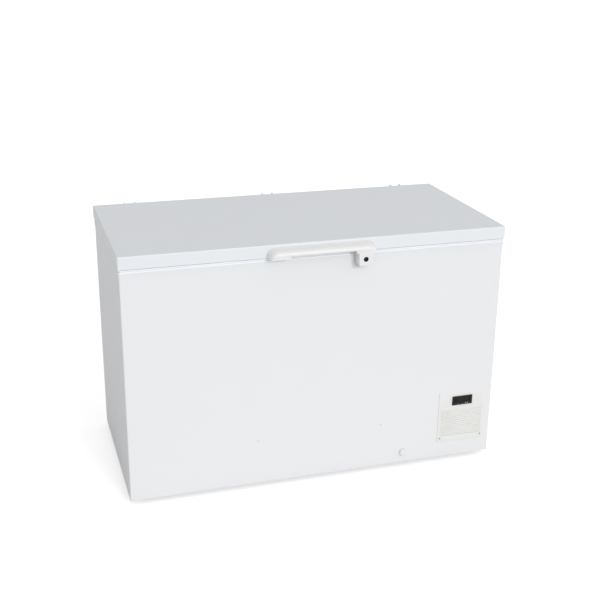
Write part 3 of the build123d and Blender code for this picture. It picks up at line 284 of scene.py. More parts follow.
def open_group(name, inputs, outputs):
    """A shader group with named number inputs and outputs."""
    group = bpy.data.node_groups.new(name, "ShaderNodeTree")
    for label, kind, value in inputs:
        socket = group.interface.new_socket(label, in_out="INPUT", socket_type=kind)
        socket.default_value = value
    for label, kind in outputs:
        group.interface.new_socket(label, in_out="OUTPUT", socket_type=kind)
    return group, group.nodes.new("NodeGroupInput"), group.nodes.new("NodeGroupOutput")


FLOAT = "NodeSocketFloat"
COLOUR = "NodeSocketColor"
VECTOR = "NodeSocketVector"


def add(tree, kind, links=None, **values):
    """A node with its options and plain values set, and its inputs linked by name."""
    node = tree.nodes.new(kind)
    for option, value in values.items():
        setattr(node, option, value)
    for socket, source in (links or {}).items():
        if isinstance(source, bpy.types.NodeSocket):
            tree.links.new(source, node.inputs[socket])
        else:
            node.inputs[socket].default_value = source
    return node


def sprayed_enamel():
    """Orange peel of sprayed paint over the slow waves of thin sheet."""
    group, given, out = open_group("sprayed_enamel", [
        ("Peel Size", FLOAT, 420.0), ("Peel Depth", FLOAT, 0.05), ("Sheet Wave", FLOAT, 0.05)],
        [("Normal", VECTOR), ("Gloss Change", FLOAT)])
    place = add(group, "ShaderNodeTexCoord").outputs["Object"]
    slow = add(group, "ShaderNodeTexNoise", {"Vector": place, "Scale": 2.6, "Detail": 1.0})
    wave = add(group, "ShaderNodeBump", {"Strength": given.outputs["Sheet Wave"], "Distance": 0.02,
                                         "Height": slow.outputs["Fac"]})
    peel = add(group, "ShaderNodeTexNoise", {"Vector": place, "Scale": given.outputs["Peel Size"],
                                             "Detail": 2.0, "Roughness": 0.4})
    skin = add(group, "ShaderNodeBump", {"Strength": given.outputs["Peel Depth"], "Distance": 0.0006,
                                         "Height": peel.outputs["Fac"], "Normal": wave.outputs["Normal"]})
    patch = add(group, "ShaderNodeTexNoise", {"Vector": place, "Scale": 9.0, "Detail": 5.0,
                                              "Roughness": 0.6})
    change = add(group, "ShaderNodeMapRange", {"Value": patch.outputs["Fac"], "From Min": 0.3,
                                               "From Max": 0.7, "To Min": -0.03, "To Max": 0.05})
    group.links.new(skin.outputs["Normal"], out.inputs["Normal"])
    group.links.new(change.outputs["Result"], out.inputs["Gloss Change"])
    return group


def settled_dust():
    """A little dust on what faces up and faint scuffs near the floor, over a base colour."""
    group, given, out = open_group("settled_dust", [
        ("Colour", COLOUR, (0.8, 0.8, 0.8, 1)), ("Dust", COLOUR, (0.55, 0.52, 0.47, 1)),
        ("On Top", FLOAT, 0.05), ("Near Floor", FLOAT, 0.06)],
        [("Colour", COLOUR), ("Amount", FLOAT)])
    place = add(group, "ShaderNodeTexCoord").outputs["Object"]
    facing = add(group, "ShaderNodeNewGeometry").outputs["Normal"]
    up = add(group, "ShaderNodeSeparateXYZ", {0: facing}).outputs["Z"]
    height = add(group, "ShaderNodeSeparateXYZ", {0: place}).outputs["Z"]
    cloud = add(group, "ShaderNodeTexNoise", {"Vector": place, "Scale": 6.0, "Detail": 8.0,
                                              "Roughness": 0.65}).outputs["Fac"]
    above = add(group, "ShaderNodeMapRange", {"Value": up, "From Min": 0.6, "From Max": 1.0})
    top = add(group, "ShaderNodeMath", {0: above.outputs["Result"], 1: given.outputs["On Top"]},
              operation="MULTIPLY")
    low = add(group, "ShaderNodeMapRange", {"Value": height, "From Min": 0.16, "From Max": 0.02})
    foot = add(group, "ShaderNodeMath", {0: low.outputs["Result"], 1: given.outputs["Near Floor"]},
               operation="MULTIPLY")
    both = add(group, "ShaderNodeMath", {0: top.outputs[0], 1: foot.outputs[0]}, operation="ADD")
    patchy = add(group, "ShaderNodeMapRange", {"Value": cloud, "From Min": 0.35, "From Max": 0.75})
    amount = add(group, "ShaderNodeMath", {0: both.outputs[0], 1: patchy.outputs["Result"]},
                 operation="MULTIPLY", use_clamp=True)
    mixed = add(group, "ShaderNodeMix", {"Factor": amount.outputs[0], "A": given.outputs["Colour"],
                                         "B": given.outputs["Dust"]}, data_type="RGBA")
    group.links.new(mixed.outputs["Result"], out.inputs["Colour"])
    group.links.new(amount.outputs[0], out.inputs["Amount"])
    return group


def moulded_grain():
    """Fine spark-eroded grain of a moulding, with faint flow marks in its colour."""
    group, given, out = open_group("moulded_grain", [
        ("Colour", COLOUR, (0.8, 0.8, 0.8, 1)), ("Grain Size", FLOAT, 1400.0),
        ("Grain Depth", FLOAT, 0.1), ("Flow", FLOAT, 0.03)],
        [("Colour", COLOUR), ("Normal", VECTOR), ("Grain", FLOAT)])
    place = add(group, "ShaderNodeTexCoord").outputs["Object"]
    grain = add(group, "ShaderNodeTexNoise", {"Vector": place, "Scale": given.outputs["Grain Size"],
                                              "Detail": 1.0})
    raised = add(group, "ShaderNodeBump", {"Strength": given.outputs["Grain Depth"], "Distance": 0.0002,
                                           "Height": grain.outputs["Fac"]})
    drift = add(group, "ShaderNodeTexNoise", {"Vector": place, "Scale": 14.0, "Detail": 3.0,
                                              "Distortion": 0.8})
    shade = add(group, "ShaderNodeMapRange", {"Value": drift.outputs["Fac"], "From Min": 0.3,
                                              "From Max": 0.7, "To Min": 0.0,
                                              "To Max": given.outputs["Flow"]})
    dark = add(group, "ShaderNodeMix", {"Factor": shade.outputs["Result"], "A": given.outputs["Colour"],
                                        "B": (0.30, 0.30, 0.29, 1)}, data_type="RGBA")
    group.links.new(dark.outputs["Result"], out.inputs["Colour"])
    group.links.new(raised.outputs["Normal"], out.inputs["Normal"])
    group.links.new(grain.outputs["Fac"], out.inputs["Grain"])
    return group


def handled_metal():
    """Stains and hairlines of bare metal, as a colour and a change of roughness."""
    group, given, out = open_group("handled_metal", [
        ("Colour", COLOUR, (0.6, 0.6, 0.6, 1)), ("Stain", COLOUR, (0.3, 0.28, 0.25, 1)),
        ("Stain Size", FLOAT, 30.0), ("Stain Amount", FLOAT, 0.3), ("Line Depth", FLOAT, 0.1)],
        [("Colour", COLOUR), ("Roughness Change", FLOAT), ("Normal", VECTOR)])
    place = add(group, "ShaderNodeTexCoord").outputs["Object"]
    stain = add(group, "ShaderNodeTexNoise", {"Vector": place, "Scale": given.outputs["Stain Size"],
                                              "Detail": 6.0, "Roughness": 0.6})
    spread = add(group, "ShaderNodeMapRange", {"Value": stain.outputs["Fac"], "From Min": 0.42,
                                               "From Max": 0.75, "To Max": given.outputs["Stain Amount"]})
    mixed = add(group, "ShaderNodeMix", {"Factor": spread.outputs["Result"], "A": given.outputs["Colour"],
                                         "B": given.outputs["Stain"]}, data_type="RGBA")
    drawn = add(group, "ShaderNodeMapping", {"Vector": place, "Scale": (60.0, 60.0, 2500.0)})
    lines = add(group, "ShaderNodeTexNoise", {"Vector": drawn.outputs["Vector"], "Scale": 1.0,
                                              "Detail": 2.0})
    raised = add(group, "ShaderNodeBump", {"Strength": given.outputs["Line Depth"], "Distance": 0.0002,
                                           "Height": lines.outputs["Fac"]})
    rough = add(group, "ShaderNodeMath", {0: spread.outputs["Result"], 1: 0.5}, operation="MULTIPLY")
    group.links.new(mixed.outputs["Result"], out.inputs["Colour"])
    group.links.new(rough.outputs[0], out.inputs["Roughness Change"])
    group.links.new(raised.outputs["Normal"], out.inputs["Normal"])
    return group


ENAMEL = sprayed_enamel()
DUST = settled_dust()
GRAIN = moulded_grain()
METAL = handled_metal()


def use_group(tree, group, links=None):
    """One of the shared effects placed in a material."""
    return add(tree, "ShaderNodeGroup", links, node_tree=group)


finishes = {}


def new_finish(name, **sockets):
    """A new material, kept in finishes by its name, with the shader's plain values set."""
    material = bpy.data.materials.new(name)
    finishes[name] = material
    material.use_nodes = True
    tree = material.node_tree
    shader = tree.nodes["Principled BSDF"]
    for socket, value in sockets.items():
        shader.inputs[socket.replace("_", " ")].default_value = value
    return tree, shader


def vary_roughness(tree, shader, base, change):
    """Roughness that moves a little round its usual value."""
    total = add(tree, "ShaderNodeMath", {0: change, 1: base}, operation="ADD", use_clamp=True)
    tree.links.new(total.outputs[0], shader.inputs["Roughness"])


def enamel_finish(name, colour, roughness=0.34, peel=0.06, wave=0.05, on_top=0.04, near_floor=0.05):
    """Sprayed and baked enamel on sheet metal."""
    tree, shader = new_finish(name)
    dust = use_group(tree, DUST, {"Colour": colour, "On Top": on_top, "Near Floor": near_floor})
    paint = use_group(tree, ENAMEL, {"Peel Depth": peel, "Sheet Wave": wave})
    tree.links.new(dust.outputs["Colour"], shader.inputs["Base Color"])
    tree.links.new(paint.outputs["Normal"], shader.inputs["Normal"])
    total = add(tree, "ShaderNodeMath", {0: dust.outputs["Amount"], 1: paint.outputs["Gloss Change"]},
                operation="ADD")
    vary_roughness(tree, shader, roughness, total.outputs[0])


def plastic_finish(name, colour, roughness, size=1400.0, depth=0.10, flow=0.03, shine=0.5):
    """Moulded plastic or rubber with its grain."""
    tree, shader = new_finish(name, Specular_IOR_Level=shine)
    grain = use_group(tree, GRAIN, {"Colour": colour, "Grain Size": size, "Grain Depth": depth,
                                    "Flow": flow})
    tree.links.new(grain.outputs["Colour"], shader.inputs["Base Color"])
    tree.links.new(grain.outputs["Normal"], shader.inputs["Normal"])
    change = add(tree, "ShaderNodeMapRange", {"Value": grain.outputs["Grain"], "To Min": -0.04,
                                              "To Max": 0.04})
    vary_roughness(tree, shader, roughness, change.outputs["Result"])


def metal_finish(name, colour, stain, roughness, size=30.0, amount=0.3, lines=0.1):
    """Bare or plated metal with stains and drawing lines."""
    tree, shader = new_finish(name, Metallic=1.0)
    worn = use_group(tree, METAL, {"Colour": colour, "Stain": stain, "Stain Size": size,
                                   "Stain Amount": amount, "Line Depth": lines})
    tree.links.new(worn.outputs["Colour"], shader.inputs["Base Color"])
    tree.links.new(worn.outputs["Normal"], shader.inputs["Normal"])
    vary_roughness(tree, shader, roughness, worn.outputs["Roughness Change"])


def galvanised_finish():
    """Hot-dip zinc with its flaky crystals."""
    tree, shader = new_finish("galvanised_sheet", Metallic=1.0)
    place = add(tree, "ShaderNodeTexCoord").outputs["Object"]
    flakes = add(tree, "ShaderNodeTexVoronoi", {"Vector": place, "Scale": 90.0})
    grey = add(tree, "ShaderNodeSeparateColor", {0: flakes.outputs["Color"]}).outputs["Red"]
    shade = add(tree, "ShaderNodeMix", {"Factor": grey, "A": (0.42, 0.44, 0.46, 1),
                                        "B": (0.66, 0.68, 0.70, 1)}, data_type="RGBA")
    worn = use_group(tree, METAL, {"Colour": shade.outputs["Result"], "Stain": (0.35, 0.35, 0.34, 1),
                                   "Stain Size": 12.0, "Stain Amount": 0.25, "Line Depth": 0.0})
    tree.links.new(worn.outputs["Colour"], shader.inputs["Base Color"])
    rough = add(tree, "ShaderNodeMapRange", {"Value": grey, "To Min": 0.30, "To Max": 0.50})
    tree.links.new(rough.outputs["Result"], shader.inputs["Roughness"])


def stucco_finish():
    """Aluminium tub sheet, rolled with a pebbled stucco pattern."""
    tree, shader = new_finish("stucco_aluminium", Metallic=1.0)
    place = add(tree, "ShaderNodeTexCoord").outputs["Object"]
    pebbles = add(tree, "ShaderNodeTexVoronoi", {"Vector": place, "Scale": 260.0},
                  feature="SMOOTH_F1")
    worn = use_group(tree, METAL, {"Colour": (0.80, 0.81, 0.82, 1), "Stain": (0.60, 0.61, 0.62, 1),
                                   "Stain Size": 8.0, "Stain Amount": 0.3, "Line Depth": 0.0})
    raised = add(tree, "ShaderNodeBump", {"Strength": 0.5, "Distance": 0.0006,
                                          "Height": pebbles.outputs["Distance"]})
    tree.links.new(worn.outputs["Colour"], shader.inputs["Base Color"])
    tree.links.new(raised.outputs["Normal"], shader.inputs["Normal"])
    vary_roughness(tree, shader, 0.36, worn.outputs["Roughness Change"])


def foam_finish():
    """Rigid foam: pale yellow, closed cells and a dull skin."""
    tree, shader = new_finish("rigid_foam", Roughness=0.95)
    place = add(tree, "ShaderNodeTexCoord").outputs["Object"]
    cells = add(tree, "ShaderNodeTexVoronoi", {"Vector": place, "Scale": 700.0})
    swirl = add(tree, "ShaderNodeTexNoise", {"Vector": place, "Scale": 7.0, "Detail": 4.0,
                                             "Distortion": 1.5})
    shade = add(tree, "ShaderNodeMix", {"Factor": swirl.outputs["Fac"], "A": (0.78, 0.66, 0.36, 1),
                                        "B": (0.86, 0.78, 0.52, 1)}, data_type="RGBA")
    raised = add(tree, "ShaderNodeBump", {"Strength": 0.4, "Distance": 0.0008,
                                          "Height": cells.outputs["Distance"]})
    tree.links.new(shade.outputs["Result"], shader.inputs["Base Color"])
    tree.links.new(raised.outputs["Normal"], shader.inputs["Normal"])


def window_finish():
    """Smoked display window with a clear gloss and a trace of wiping marks."""
    tree, shader = new_finish("smoked_window", Specular_IOR_Level=0.18)
    grain = use_group(tree, GRAIN, {"Colour": (0.010, 0.010, 0.011, 1), "Grain Size": 60.0,
                                    "Grain Depth": 0.02, "Flow": 0.02})
    tree.links.new(grain.outputs["Colour"], shader.inputs["Base Color"])
    wipe = add(tree, "ShaderNodeMapRange", {"Value": grain.outputs["Grain"], "To Min": 0.05,
                                            "To Max": 0.16})
    tree.links.new(wipe.outputs["Result"], shader.inputs["Roughness"])


enamel_finish("white_enamel", (0.805, 0.812, 0.826, 1))
enamel_finish("lid_enamel", (0.788, 0.812, 0.838, 1), wave=0.03, on_top=0.05)
enamel_finish("hinge_enamel", (0.70, 0.71, 0.71, 1), roughness=0.38, peel=0.12)
enamel_finish("compressor_enamel", (0.018, 0.018, 0.019, 1), peel=0.25, on_top=0.25, near_floor=0.1)
plastic_finish("white_plastic", (0.80, 0.805, 0.80, 1), 0.42)
plastic_finish("handle_plastic", (0.80, 0.80, 0.795, 1), 0.34, size=900.0, depth=0.05)
plastic_finish("rim_plastic", (0.79, 0.815, 0.84, 1), 0.40, size=1000.0, depth=0.05)
plastic_finish("cream_plastic", (0.81, 0.81, 0.785, 1), 0.48, size=1200.0, depth=0.04)
plastic_finish("key_plastic", (0.022, 0.022, 0.022, 1), 0.50, size=1300.0, depth=0.08, shine=0.4)
plastic_finish("bezel_plastic", (0.012, 0.012, 0.012, 1), 0.42, size=1100.0, depth=0.05, shine=0.3)
plastic_finish("fan_plastic", (0.035, 0.035, 0.037, 1), 0.50, size=800.0)
plastic_finish("segment_grey", (0.030, 0.027, 0.027, 1), 0.40, size=900.0, depth=0.03, shine=0.3)
plastic_finish("mark_grey", (0.22, 0.225, 0.225, 1), 0.55, size=900.0, depth=0.03)
plastic_finish("plug_grey", (0.62, 0.63, 0.63, 1), 0.50, size=900.0, depth=0.05)
metal_finish("screw_zinc", (0.45, 0.46, 0.47, 1), (0.25, 0.24, 0.22, 1), 0.40, size=200.0)
plastic_finish("soft_seal", (0.91, 0.93, 0.95, 1), 0.55, size=500.0, depth=0.05)
plastic_finish("foot_rubber", (0.022, 0.022, 0.022, 1), 0.75, size=700.0, depth=0.30, flow=0.08)
metal_finish("zinc_plate", (0.60, 0.61, 0.62, 1), (0.40, 0.39, 0.36, 1), 0.34)
metal_finish("spring_steel", (0.30, 0.30, 0.31, 1), (0.12, 0.10, 0.08, 1), 0.32, size=60.0)
metal_finish("lock_black", (0.012, 0.012, 0.012, 1), (0.03, 0.03, 0.03, 1), 0.36, size=90.0)
metal_finish("lock_steel", (0.05, 0.05, 0.05, 1), (0.03, 0.03, 0.03, 1), 0.36, size=120.0)
metal_finish("copper_tube", (0.72, 0.32, 0.18, 1), (0.22, 0.10, 0.06, 1), 0.30, size=25.0, amount=0.6)
metal_finish("fin_stock", (0.74, 0.75, 0.76, 1), (0.50, 0.49, 0.47, 1), 0.38, size=20.0)
galvanised_finish()
stucco_finish()
foam_finish()
window_finish()

finish_nodes = {
    "white_enamel": ("cabinet_wrapper", "back_panel", "rear_vent_cover"),
    "lid_enamel": ("lid_skin",),
    "galvanised_sheet": ("base_pan", "compressor_tray", "bay_shell", "fan_shroud"),
    "stucco_aluminium": ("inner_liner",),
    "rigid_foam": ("foam_body", "lid_foam"),
    "rim_plastic": ("top_frame", "lid_liner"),
    "white_plastic": ("probe_cover", "drain_tube", "drain_escutcheon", "drain_cap"),
    "soft_seal": ("drain_bung", "gasket"),
    "handle_plastic": ("handle", "lock_housing"),
    "lock_black": ("lock_cylinder",),
    "hinge_enamel": ("hinge_bodies", "hinge_leaves"),
    "spring_steel": ("hinge_springs",),
    "zinc_plate": ("lock_cam", "lock_keeper", "hinge_pins", "hinge_rollers", "hinge_plungers",
                   "fan_motor"),
    "cream_plastic": ("control_panel",),
    "bezel_plastic": ("controller_housing", "controller_bezel"),
    "smoked_window": ("display_window",),
    "key_plastic": ("key_1", "key_2", "terminal_cover", "electrical_box", "mains_inlet"),
    "mark_grey": ("key_3",),
    "compressor_enamel": ("compressor",),
    "fan_plastic": ("fan_blade",),
    "fin_stock": ("condenser_tubes", "condenser_fins"),
    "foot_rubber": ("feet", "compressor_grommets"),
    "copper_tube": ("evaporator_coil", "filter_drier", "discharge_line", "liquid_line",
                    "capillary_tube", "suction_line"),
}
for finish, dressed in finish_nodes.items():
    for node in dressed:
        nodes[node].data.materials.clear()
        nodes[node].data.materials.append(finishes[finish])


# Handle, lock and drain

def mould_handle():
    """The arched handle: round shoulders, a tapered front and a hollow for the fingers."""
    low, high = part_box("handle")
    front, back, foot, top = low[1], high[1], low[2], high[2] - 2 * MM
    shoulder, outline = 29 * MM, 10 * MM
    left, right, lip, plate = -112 * MM, 108 * MM, 4.5 * MM, 3.5 * MM
    hollow_top, mouth_top, past = foot + 18 * MM, foot + 9 * MM, 2 * MM
    grip = start_block("handle_grip", low[0], high[0], front, back, foot, top)
    choose_edges(grip, lambda at, way: abs(way.y) > 0.9 and at.z > top - MM)
    bpy.ops.mesh.bevel(offset=shoulder, segments=9, affect="EDGES")
    choose_faces(grip, lambda at, way: way.y < -0.9)
    bpy.ops.transform.resize(value=(0.955, 1, 0.70), center_override=(0, front, foot))
    choose_edges(grip, lambda at, way: at.y < front + MM and at.z > foot + MM)
    bpy.ops.mesh.bevel(offset=outline, segments=6, affect="EDGES")
    hollow = start_block("hollow", left, right, front + lip, back - plate, foot - past, hollow_top)
    choose_edges(hollow, lambda at, way: at.z > hollow_top - past)
    bpy.ops.mesh.bevel(offset=4 * MM, segments=3, affect="EDGES")
    mouth = start_block("mouth", left, right, front - past, back - plate, foot - past, mouth_top)
    choose_edges(mouth, lambda at, way: abs(way.y) > 0.9 and at.z > foot)
    bpy.ops.mesh.bevel(offset=4 * MM, segments=4, affect="EDGES")
    cut_away(grip, hollow, mouth)
    soften(grip, 0.7 * MM, 2)
    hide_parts("handle")
    return hand_over(grip, "lid", finishes["handle_plastic"])


def mould_lock():
    """The lock body under the handle, drafted towards the front, hollow behind, with a bore."""
    low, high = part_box("lock_housing")
    front, back = low[1], high[1]
    middle = (low[0] + high[0]) / 2
    wall, bore_radius, axis = 2.6 * MM, 8.3 * MM, 798 * MM
    body = start_block("lock_body", low[0], high[0], front, back, low[2], high[2])
    choose_faces(body, lambda at, way: way.z < -0.9)
    bpy.ops.transform.resize(value=(0.92, 1, 1), center_override=(middle, back, low[2]))
    choose_faces(body, lambda at, way: way.y < -0.9)
    bpy.ops.transform.resize(value=(0.93, 1, 0.97), center_override=(middle, front, high[2]))
    choose_edges(body, lambda at, way: abs(way.y) > 0.8 and at.z < low[2] + 5 * MM)
    bpy.ops.mesh.bevel(offset=6 * MM, segments=5, affect="EDGES")
    choose_edges(body, lambda at, way: at.y < front + MM and at.z < high[2] - MM)
    bpy.ops.mesh.bevel(offset=2.2 * MM, segments=4, affect="EDGES")
    hollow = start_block("hollow", low[0] + wall, high[0] - wall, front + 2 * wall, back + wall,
                         low[2] + 2 * wall, high[2] - wall)
    choose_faces(hollow, lambda at, way: way.z < -0.9)
    bpy.ops.transform.resize(value=(0.92, 1, 1), center_override=(middle, back, low[2]))
    bore = start_rod("bore", bore_radius, (middle, front - wall, axis), (middle, back, axis), 48)
    cut_away(body, hollow, bore)
    soften(body, 0.4 * MM, 2)
    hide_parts("lock_housing")
    return hand_over(body, "lid", finishes["handle_plastic"])


def turn_cylinder():
    """The lock's dark barrel with its dished face, and the plug with the keyway in it."""
    low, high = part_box("lock_cylinder")
    middle = (low[0] + high[0]) / 2
    axis = (low[2] + high[2]) / 2
    barrel = start_rod("lock_barrel", 8 * MM, (middle, low[1], axis), (middle, high[1], axis), 48)
    choose_faces(barrel, lambda at, way: way.y < -0.9)
    bpy.ops.mesh.inset(thickness=1.1 * MM)
    bpy.ops.mesh.inset(thickness=0.5 * MM, depth=-0.8 * MM)
    bpy.ops.mesh.inset(thickness=2.6 * MM)
    bpy.ops.mesh.inset(thickness=0.15 * MM, depth=-1.2 * MM)
    soften(barrel, 0.25 * MM, 2)
    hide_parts("lock_cylinder")
    hand_over(barrel, "lock", finishes["lock_black"])
    face = low[1] + 0.7 * MM
    plug = start_rod("keyway_plug", 3.55 * MM, (middle, face, axis), (middle, face + 6 * MM, axis), 32)
    slot = start_block("slot", middle - 0.55 * MM, middle + 0.55 * MM, face - MM, face + 4 * MM,
                       axis - 2.6 * MM, axis + 2.6 * MM)
    cut_away(plug, slot)
    soften(plug, 0.15 * MM, 1)
    return hand_over(plug, "lock", finishes["lock_steel"])


def mould_drain_cap():
    """The push-in cap: a low rounded disc with a dished face, and its stem in the tube."""
    low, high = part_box("drain_cap")
    middle = (low[0] + high[0]) / 2
    axis = (low[2] + high[2]) / 2
    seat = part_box("drain_escutcheon")[0][1]
    front = seat - 5 * MM
    radius, stem = 14 * MM, 7.7 * MM
    cap = start_rod("drain_disc", radius, (middle, front, axis), (middle, seat, axis), 48)
    choose_edges(cap, lambda at, way: at.y < front + 0.1 * MM)
    bpy.ops.mesh.bevel(offset=2.5 * MM, segments=4, affect="EDGES")
    choose_faces(cap, lambda at, way: way.y < -0.99)
    bpy.ops.mesh.inset(thickness=2 * MM)
    bpy.ops.mesh.inset(thickness=4 * MM, depth=-1.2 * MM)
    bpy.ops.mesh.inset(thickness=1.5 * MM, depth=0.8 * MM)
    choose_faces(cap, lambda at, way: way.y > 0.99)
    bpy.ops.mesh.inset(thickness=radius - stem)
    bpy.ops.mesh.extrude_region_move(TRANSFORM_OT_translate={"value": (0, high[1] - seat, 0)})
    soften(cap, 0.2 * MM, 2, 40)
    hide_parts("drain_cap")
    return hand_over(cap, "outlet_cap", finishes["white_plastic"])


def mould_feet():
    """Four round rubber feet, tapered to the floor, each with a sunk hole for its screw."""
    low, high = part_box("feet")
    radius = 21 * MM
    foot = start_rod("rubber_foot", radius, (0, 0, low[2]), (0, 0, high[2]), 48)
    choose_faces(foot, lambda at, way: way.z < -0.9)
    bpy.ops.transform.resize(value=(0.87, 0.87, 1), center_override=(0, 0, low[2]))
    bpy.ops.mesh.inset(thickness=1.2 * MM)
    bpy.ops.mesh.inset(thickness=8 * MM)
    bpy.ops.mesh.inset(thickness=0.4 * MM, depth=-9 * MM)
    soften(foot, 0.9 * MM, 3)
    x, y = high[0] - radius, high[1] - radius
    feet = [copy_piece(foot, "rubber_foot", Vector((i * x, j * y, 0)))
            for i in (-1, 1) for j in (-1, 1)]
    bpy.data.objects.remove(foot)
    feet = join_copies("rubber_feet", feet)
    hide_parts("feet")
    return hand_over(feet, "root", finishes["foot_rubber"])


# Controller, grille and inlet

# The grille's opening (left, right, sill, head), its blades, and the rim's foot and head.
GRILLE = (454.5 * MM, 611.5 * MM, 97 * MM, 199.7 * MM)
GRILLE_BLADES = 14
BLADE_GAP = 1.9 * MM
RIM_LOW = 95.5 * MM
RIM_HIGH = 259.5 * MM


def lay_segments():
    """Unlit segments of three digits and a minus sign, thin on the dark window."""
    low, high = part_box("display_window")
    middle = (low[0] + high[0]) / 2
    level = (low[2] + high[2]) / 2
    half, wide = 2.6 * MM, 0.65 * MM
    bar = start_block("segment", -half, half, -0.15 * MM, 0, -wide, wide)
    choose_edges(bar, lambda at, way: abs(way.y) > 0.9)
    bpy.ops.mesh.bevel(offset=0.6 * MM, segments=1, affect="EDGES")
    upright = Matrix.Rotation(pi / 2, 4, "Y")
    rise, side, pitch, shift = 5.9 * MM, 3.1 * MM, 13 * MM, 3 * MM
    copies = []
    for digit in (-1, 0, 1):
        x = middle + shift + digit * pitch
        for z in (-rise, 0, rise):
            copies.append(copy_piece(bar, "segment", Vector((x, low[1], level + z))))
        for dx in (-side, side):
            for dz in (-rise / 2, rise / 2):
                copies.append(copy_piece(bar, "segment", Vector((x + dx, low[1], level + dz)), upright))
    copies.append(copy_piece(bar, "segment", Vector((middle - 21 * MM, low[1], level))))
    bpy.data.objects.remove(bar)
    digits = join_copies("display_digits", copies)
    return hand_over(digits, "root", finishes["segment_grey"])


def mark_keys():
    """A raised arrow up, an arrow down and a round dot, one on each key."""
    for node, body, sides, turn in (("key_1", "key_left", 3, pi / 2),
                                    ("key_2", "key_middle", 3, -pi / 2),
                                    ("key_3", "key_right", 24, 0.0)):
        low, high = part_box(node)
        clear_selection()
        bpy.ops.mesh.primitive_cylinder_add(vertices=sides, radius=1.5 * MM, depth=0.2 * MM,
                                            rotation=(pi / 2, 0, 0))
        mark = bpy.context.object
        mark.name = node + "_mark"
        fix_place()
        mark.data.transform(Matrix.Rotation(turn, 4, "Y"))
        middle, level = (low[0] + high[0]) / 2, (low[2] + high[2]) / 2
        mark.data.transform(Matrix.Translation((middle, low[1], level)))
        soften(mark, 0.05 * MM, 2)
        finish = "key_plastic" if node == "key_3" else "mark_grey"
        hand_over(mark, body, finishes[finish])


def mould_panel():
    """The control panel: a softened frame, a rim behind it and thin slanted blades."""
    low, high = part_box("control_panel")
    window_low, window_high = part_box("controller_housing")
    front, back, sheet = low[1], high[1], low[1] + 2 * MM
    left, right, sill, head = GRILLE
    wall, slack = 1.5 * MM, 0.2 * MM
    panel = start_block("panel_frame", low[0], high[0], front, sheet, low[2], high[2])
    choose_edges(panel, lambda at, way: abs(way.y) > 0.9)
    bpy.ops.mesh.bevel(offset=5 * MM, segments=6, affect="EDGES")
    choose_edges(panel, lambda at, way: at.y < front + 0.1 * MM)
    bpy.ops.mesh.bevel(offset=0.9 * MM, segments=3, affect="EDGES")
    rim = start_block("rim", left - wall, right + wall, sheet - MM, back, RIM_LOW, RIM_HIGH)
    inside = start_block("inside", left, right, sheet, back + MM, RIM_LOW + wall, RIM_HIGH - wall)
    opening = start_block("opening", left, right, front - MM, back, sill, head)
    window = start_block("window", window_low[0] - slack, window_high[0] + slack, front - MM, back,
                         window_low[2] - slack, window_high[2] + slack)
    unite(panel, rim)
    cut_away(panel, inside, opening, window)
    soften(panel, 0.3 * MM, 2)
    pitch = (head - sill) / GRILLE_BLADES
    depth, slant = back - 3.5 * MM, 3.4 * MM
    blade = start_block("blade", left - slack, right + slack, front, depth, 0, pitch - BLADE_GAP)
    choose_faces(blade, lambda at, way: way.y > 0.9)
    bpy.ops.transform.translate(value=(0, 0, slant))
    soften(blade, 0.4 * MM, 2)
    blades = [copy_piece(blade, "blade", Vector((0, 0, sill + BLADE_GAP / 2 + i * pitch)))
              for i in range(GRILLE_BLADES)]
    bpy.data.objects.remove(blade)
    panel = join_copies("panel_frame", [panel] + blades)
    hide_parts("control_panel")
    return hand_over(panel, "root", finishes["cream_plastic"])


def rib_grille():
    """Two upright ribs behind the blades that keep them from bending."""
    left, right, sill, head = GRILLE
    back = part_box("control_panel")[1][1]
    half = 1.2 * MM
    bars = []
    for share in (1 / 3, 2 / 3):
        x = left + share * (right - left)
        bar = start_block("rib", x - half, x + half, back - 4 * MM, back + 0.5 * MM, sill, head)
        soften(bar, 0.4 * MM, 2)
        bars.append(bar)
    ribs = join_copies("grille_ribs", bars)
    return hand_over(ribs, "root", finishes["cream_plastic"])


def fit_inlet_pins():
    """Three flat pins in the appliance inlet."""
    pins = []
    for x, z in ((397 * MM, 60.5 * MM), (411 * MM, 60.5 * MM), (404 * MM, 64.5 * MM)):
        pin = start_block("pin", x - MM, x + MM, 301.6 * MM, 312.5 * MM, z - 2 * MM, z + 2 * MM)
        choose_edges(pin, lambda at, way: at.y > 312 * MM)
        bpy.ops.mesh.bevel(offset=0.6 * MM, segments=3, affect="EDGES")
        soften(pin, 0.1 * MM, 1)
        pins.append(pin)
    return hand_over(join_copies("inlet_pins", pins), "root", finishes["zinc_plate"])


# Small fasteners, and the faces that they sit on

PANEL_FACE, FRONT_FACE, SIDE_FACE = -0.314, -0.312, -0.646
BACK_FACE, VENT_FACE, BRACKET_FACE, INLET_FACE, LEAF_FACE = 0.313, 0.3142, 0.315, 0.3162, 0.318
HINGE_PLACES = (-0.515, 0.0, 0.515)


def turn_screw(radius):
    """A pan-head screw with a cross recess, its head pointing up from the origin."""
    head = start_rod("screw", radius, (0, 0, -0.3 * MM), (0, 0, 0.62 * radius), 24)
    choose_edges(head, lambda at, way: at.z > 0.6 * radius)
    bpy.ops.mesh.bevel(offset=0.42 * radius, segments=4, affect="EDGES")
    arm, width, floor = 0.58 * radius, 0.13 * radius, 0.22 * radius
    across = start_block("cross", -arm, arm, -width, width, floor, radius)
    along = start_block("cross", -width, width, -arm, arm, floor, radius)
    cut_away(head, across, along)
    soften(head, 0.03 * radius, 1, 40)
    return head


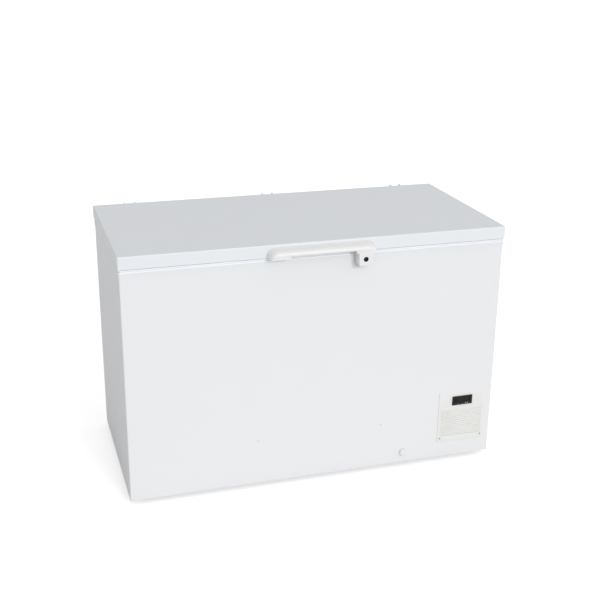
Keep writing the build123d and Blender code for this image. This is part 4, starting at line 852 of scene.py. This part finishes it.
def press_plug(radius):
    """A low domed hole plug with a thin rim, pointing up from the origin."""
    plug = start_rod("plug", radius, (0, 0, -0.2 * MM), (0, 0, 0.45 * MM), 32)
    choose_faces(plug, lambda at, way: way.z > 0.9)
    bpy.ops.mesh.inset(thickness=0.22 * radius)
    bpy.ops.mesh.inset(thickness=0.25 * radius, depth=0.30 * MM)
    bpy.ops.mesh.inset(thickness=0.30 * radius, depth=0.15 * MM)
    soften(plug, 0.12 * MM, 2)
    return plug


def set_out(name, form, places, way, body, material):
    """Copies of one small piece at several places, all facing one way, as one piece."""
    facing = Vector(way).to_track_quat("Z", "Y").to_matrix().to_4x4()
    copies = [copy_piece(form, name, Vector(place), facing) for place in places]
    bpy.data.objects.remove(form)
    return hand_over(join_copies(name, copies), body, material)


def fit_fasteners():
    """Every screw, rivet and plug that shows on the outside."""
    zinc, plug_grey = finishes["zinc_plate"], finishes["plug_grey"]
    to_front, to_back, to_left = (0, -1, 0), (0, 1, 0), (-1, 0, 0)
    set_out("panel_screws", turn_screw(2.7 * MM),
            [(0.455, PANEL_FACE, 0.089), (0.6114, PANEL_FACE, 0.088)],
            to_front, "root", finishes["screw_zinc"])
    set_out("front_plugs", press_plug(3 * MM), [(x, FRONT_FACE, 0.176) for x in (-0.211, 0.228)],
            to_front, "root", plug_grey)
    set_out("side_plugs", press_plug(3 * MM),
            [(SIDE_FACE, y, z) for y, z in ((-0.223, 0.1086), (0.185, 0.046), (-0.035, 0.214))],
            to_left, "root", plug_grey)
    set_out("hinge_screws", turn_screw(3.6 * MM),
            [(x + side * 0.026, BRACKET_FACE, z) for x in HINGE_PLACES for side in (-1, 1)
             for z in (0.672, 0.722, 0.772)],
            to_back, "root", zinc)
    set_out("leaf_screws", turn_screw(3.2 * MM),
            [(x + side * 0.0215, LEAF_FACE, z) for x in HINGE_PLACES for side in (-1, 1)
             for z in (0.829, 0.846)],
            to_back, "lid", zinc)
    set_out("vent_screws", turn_screw(3.2 * MM),
            [(x, VENT_FACE, z) for x in (0.366, 0.6185) for z in (0.030, 0.175, 0.319)],
            to_back, "root", zinc)
    set_out("back_rivets", press_plug(3.2 * MM),
            [(side * 0.634, BACK_FACE, z) for side in (-1, 1)
             for z in (0.055, 0.36, 0.50, 0.64, 0.765)],
            to_back, "root", zinc)
    set_out("inlet_screws", turn_screw(2.2 * MM), [(x, INLET_FACE, 0.062) for x in (0.3845, 0.4235)],
            to_back, "root", zinc)


mould_handle()
mould_lock()
turn_cylinder()
mould_drain_cap()
mould_feet()
lay_segments()
mark_keys()
mould_panel()
rib_grille()
fit_inlet_pins()
fit_fasteners()

place_camera()
lay_floor()
light_studio()
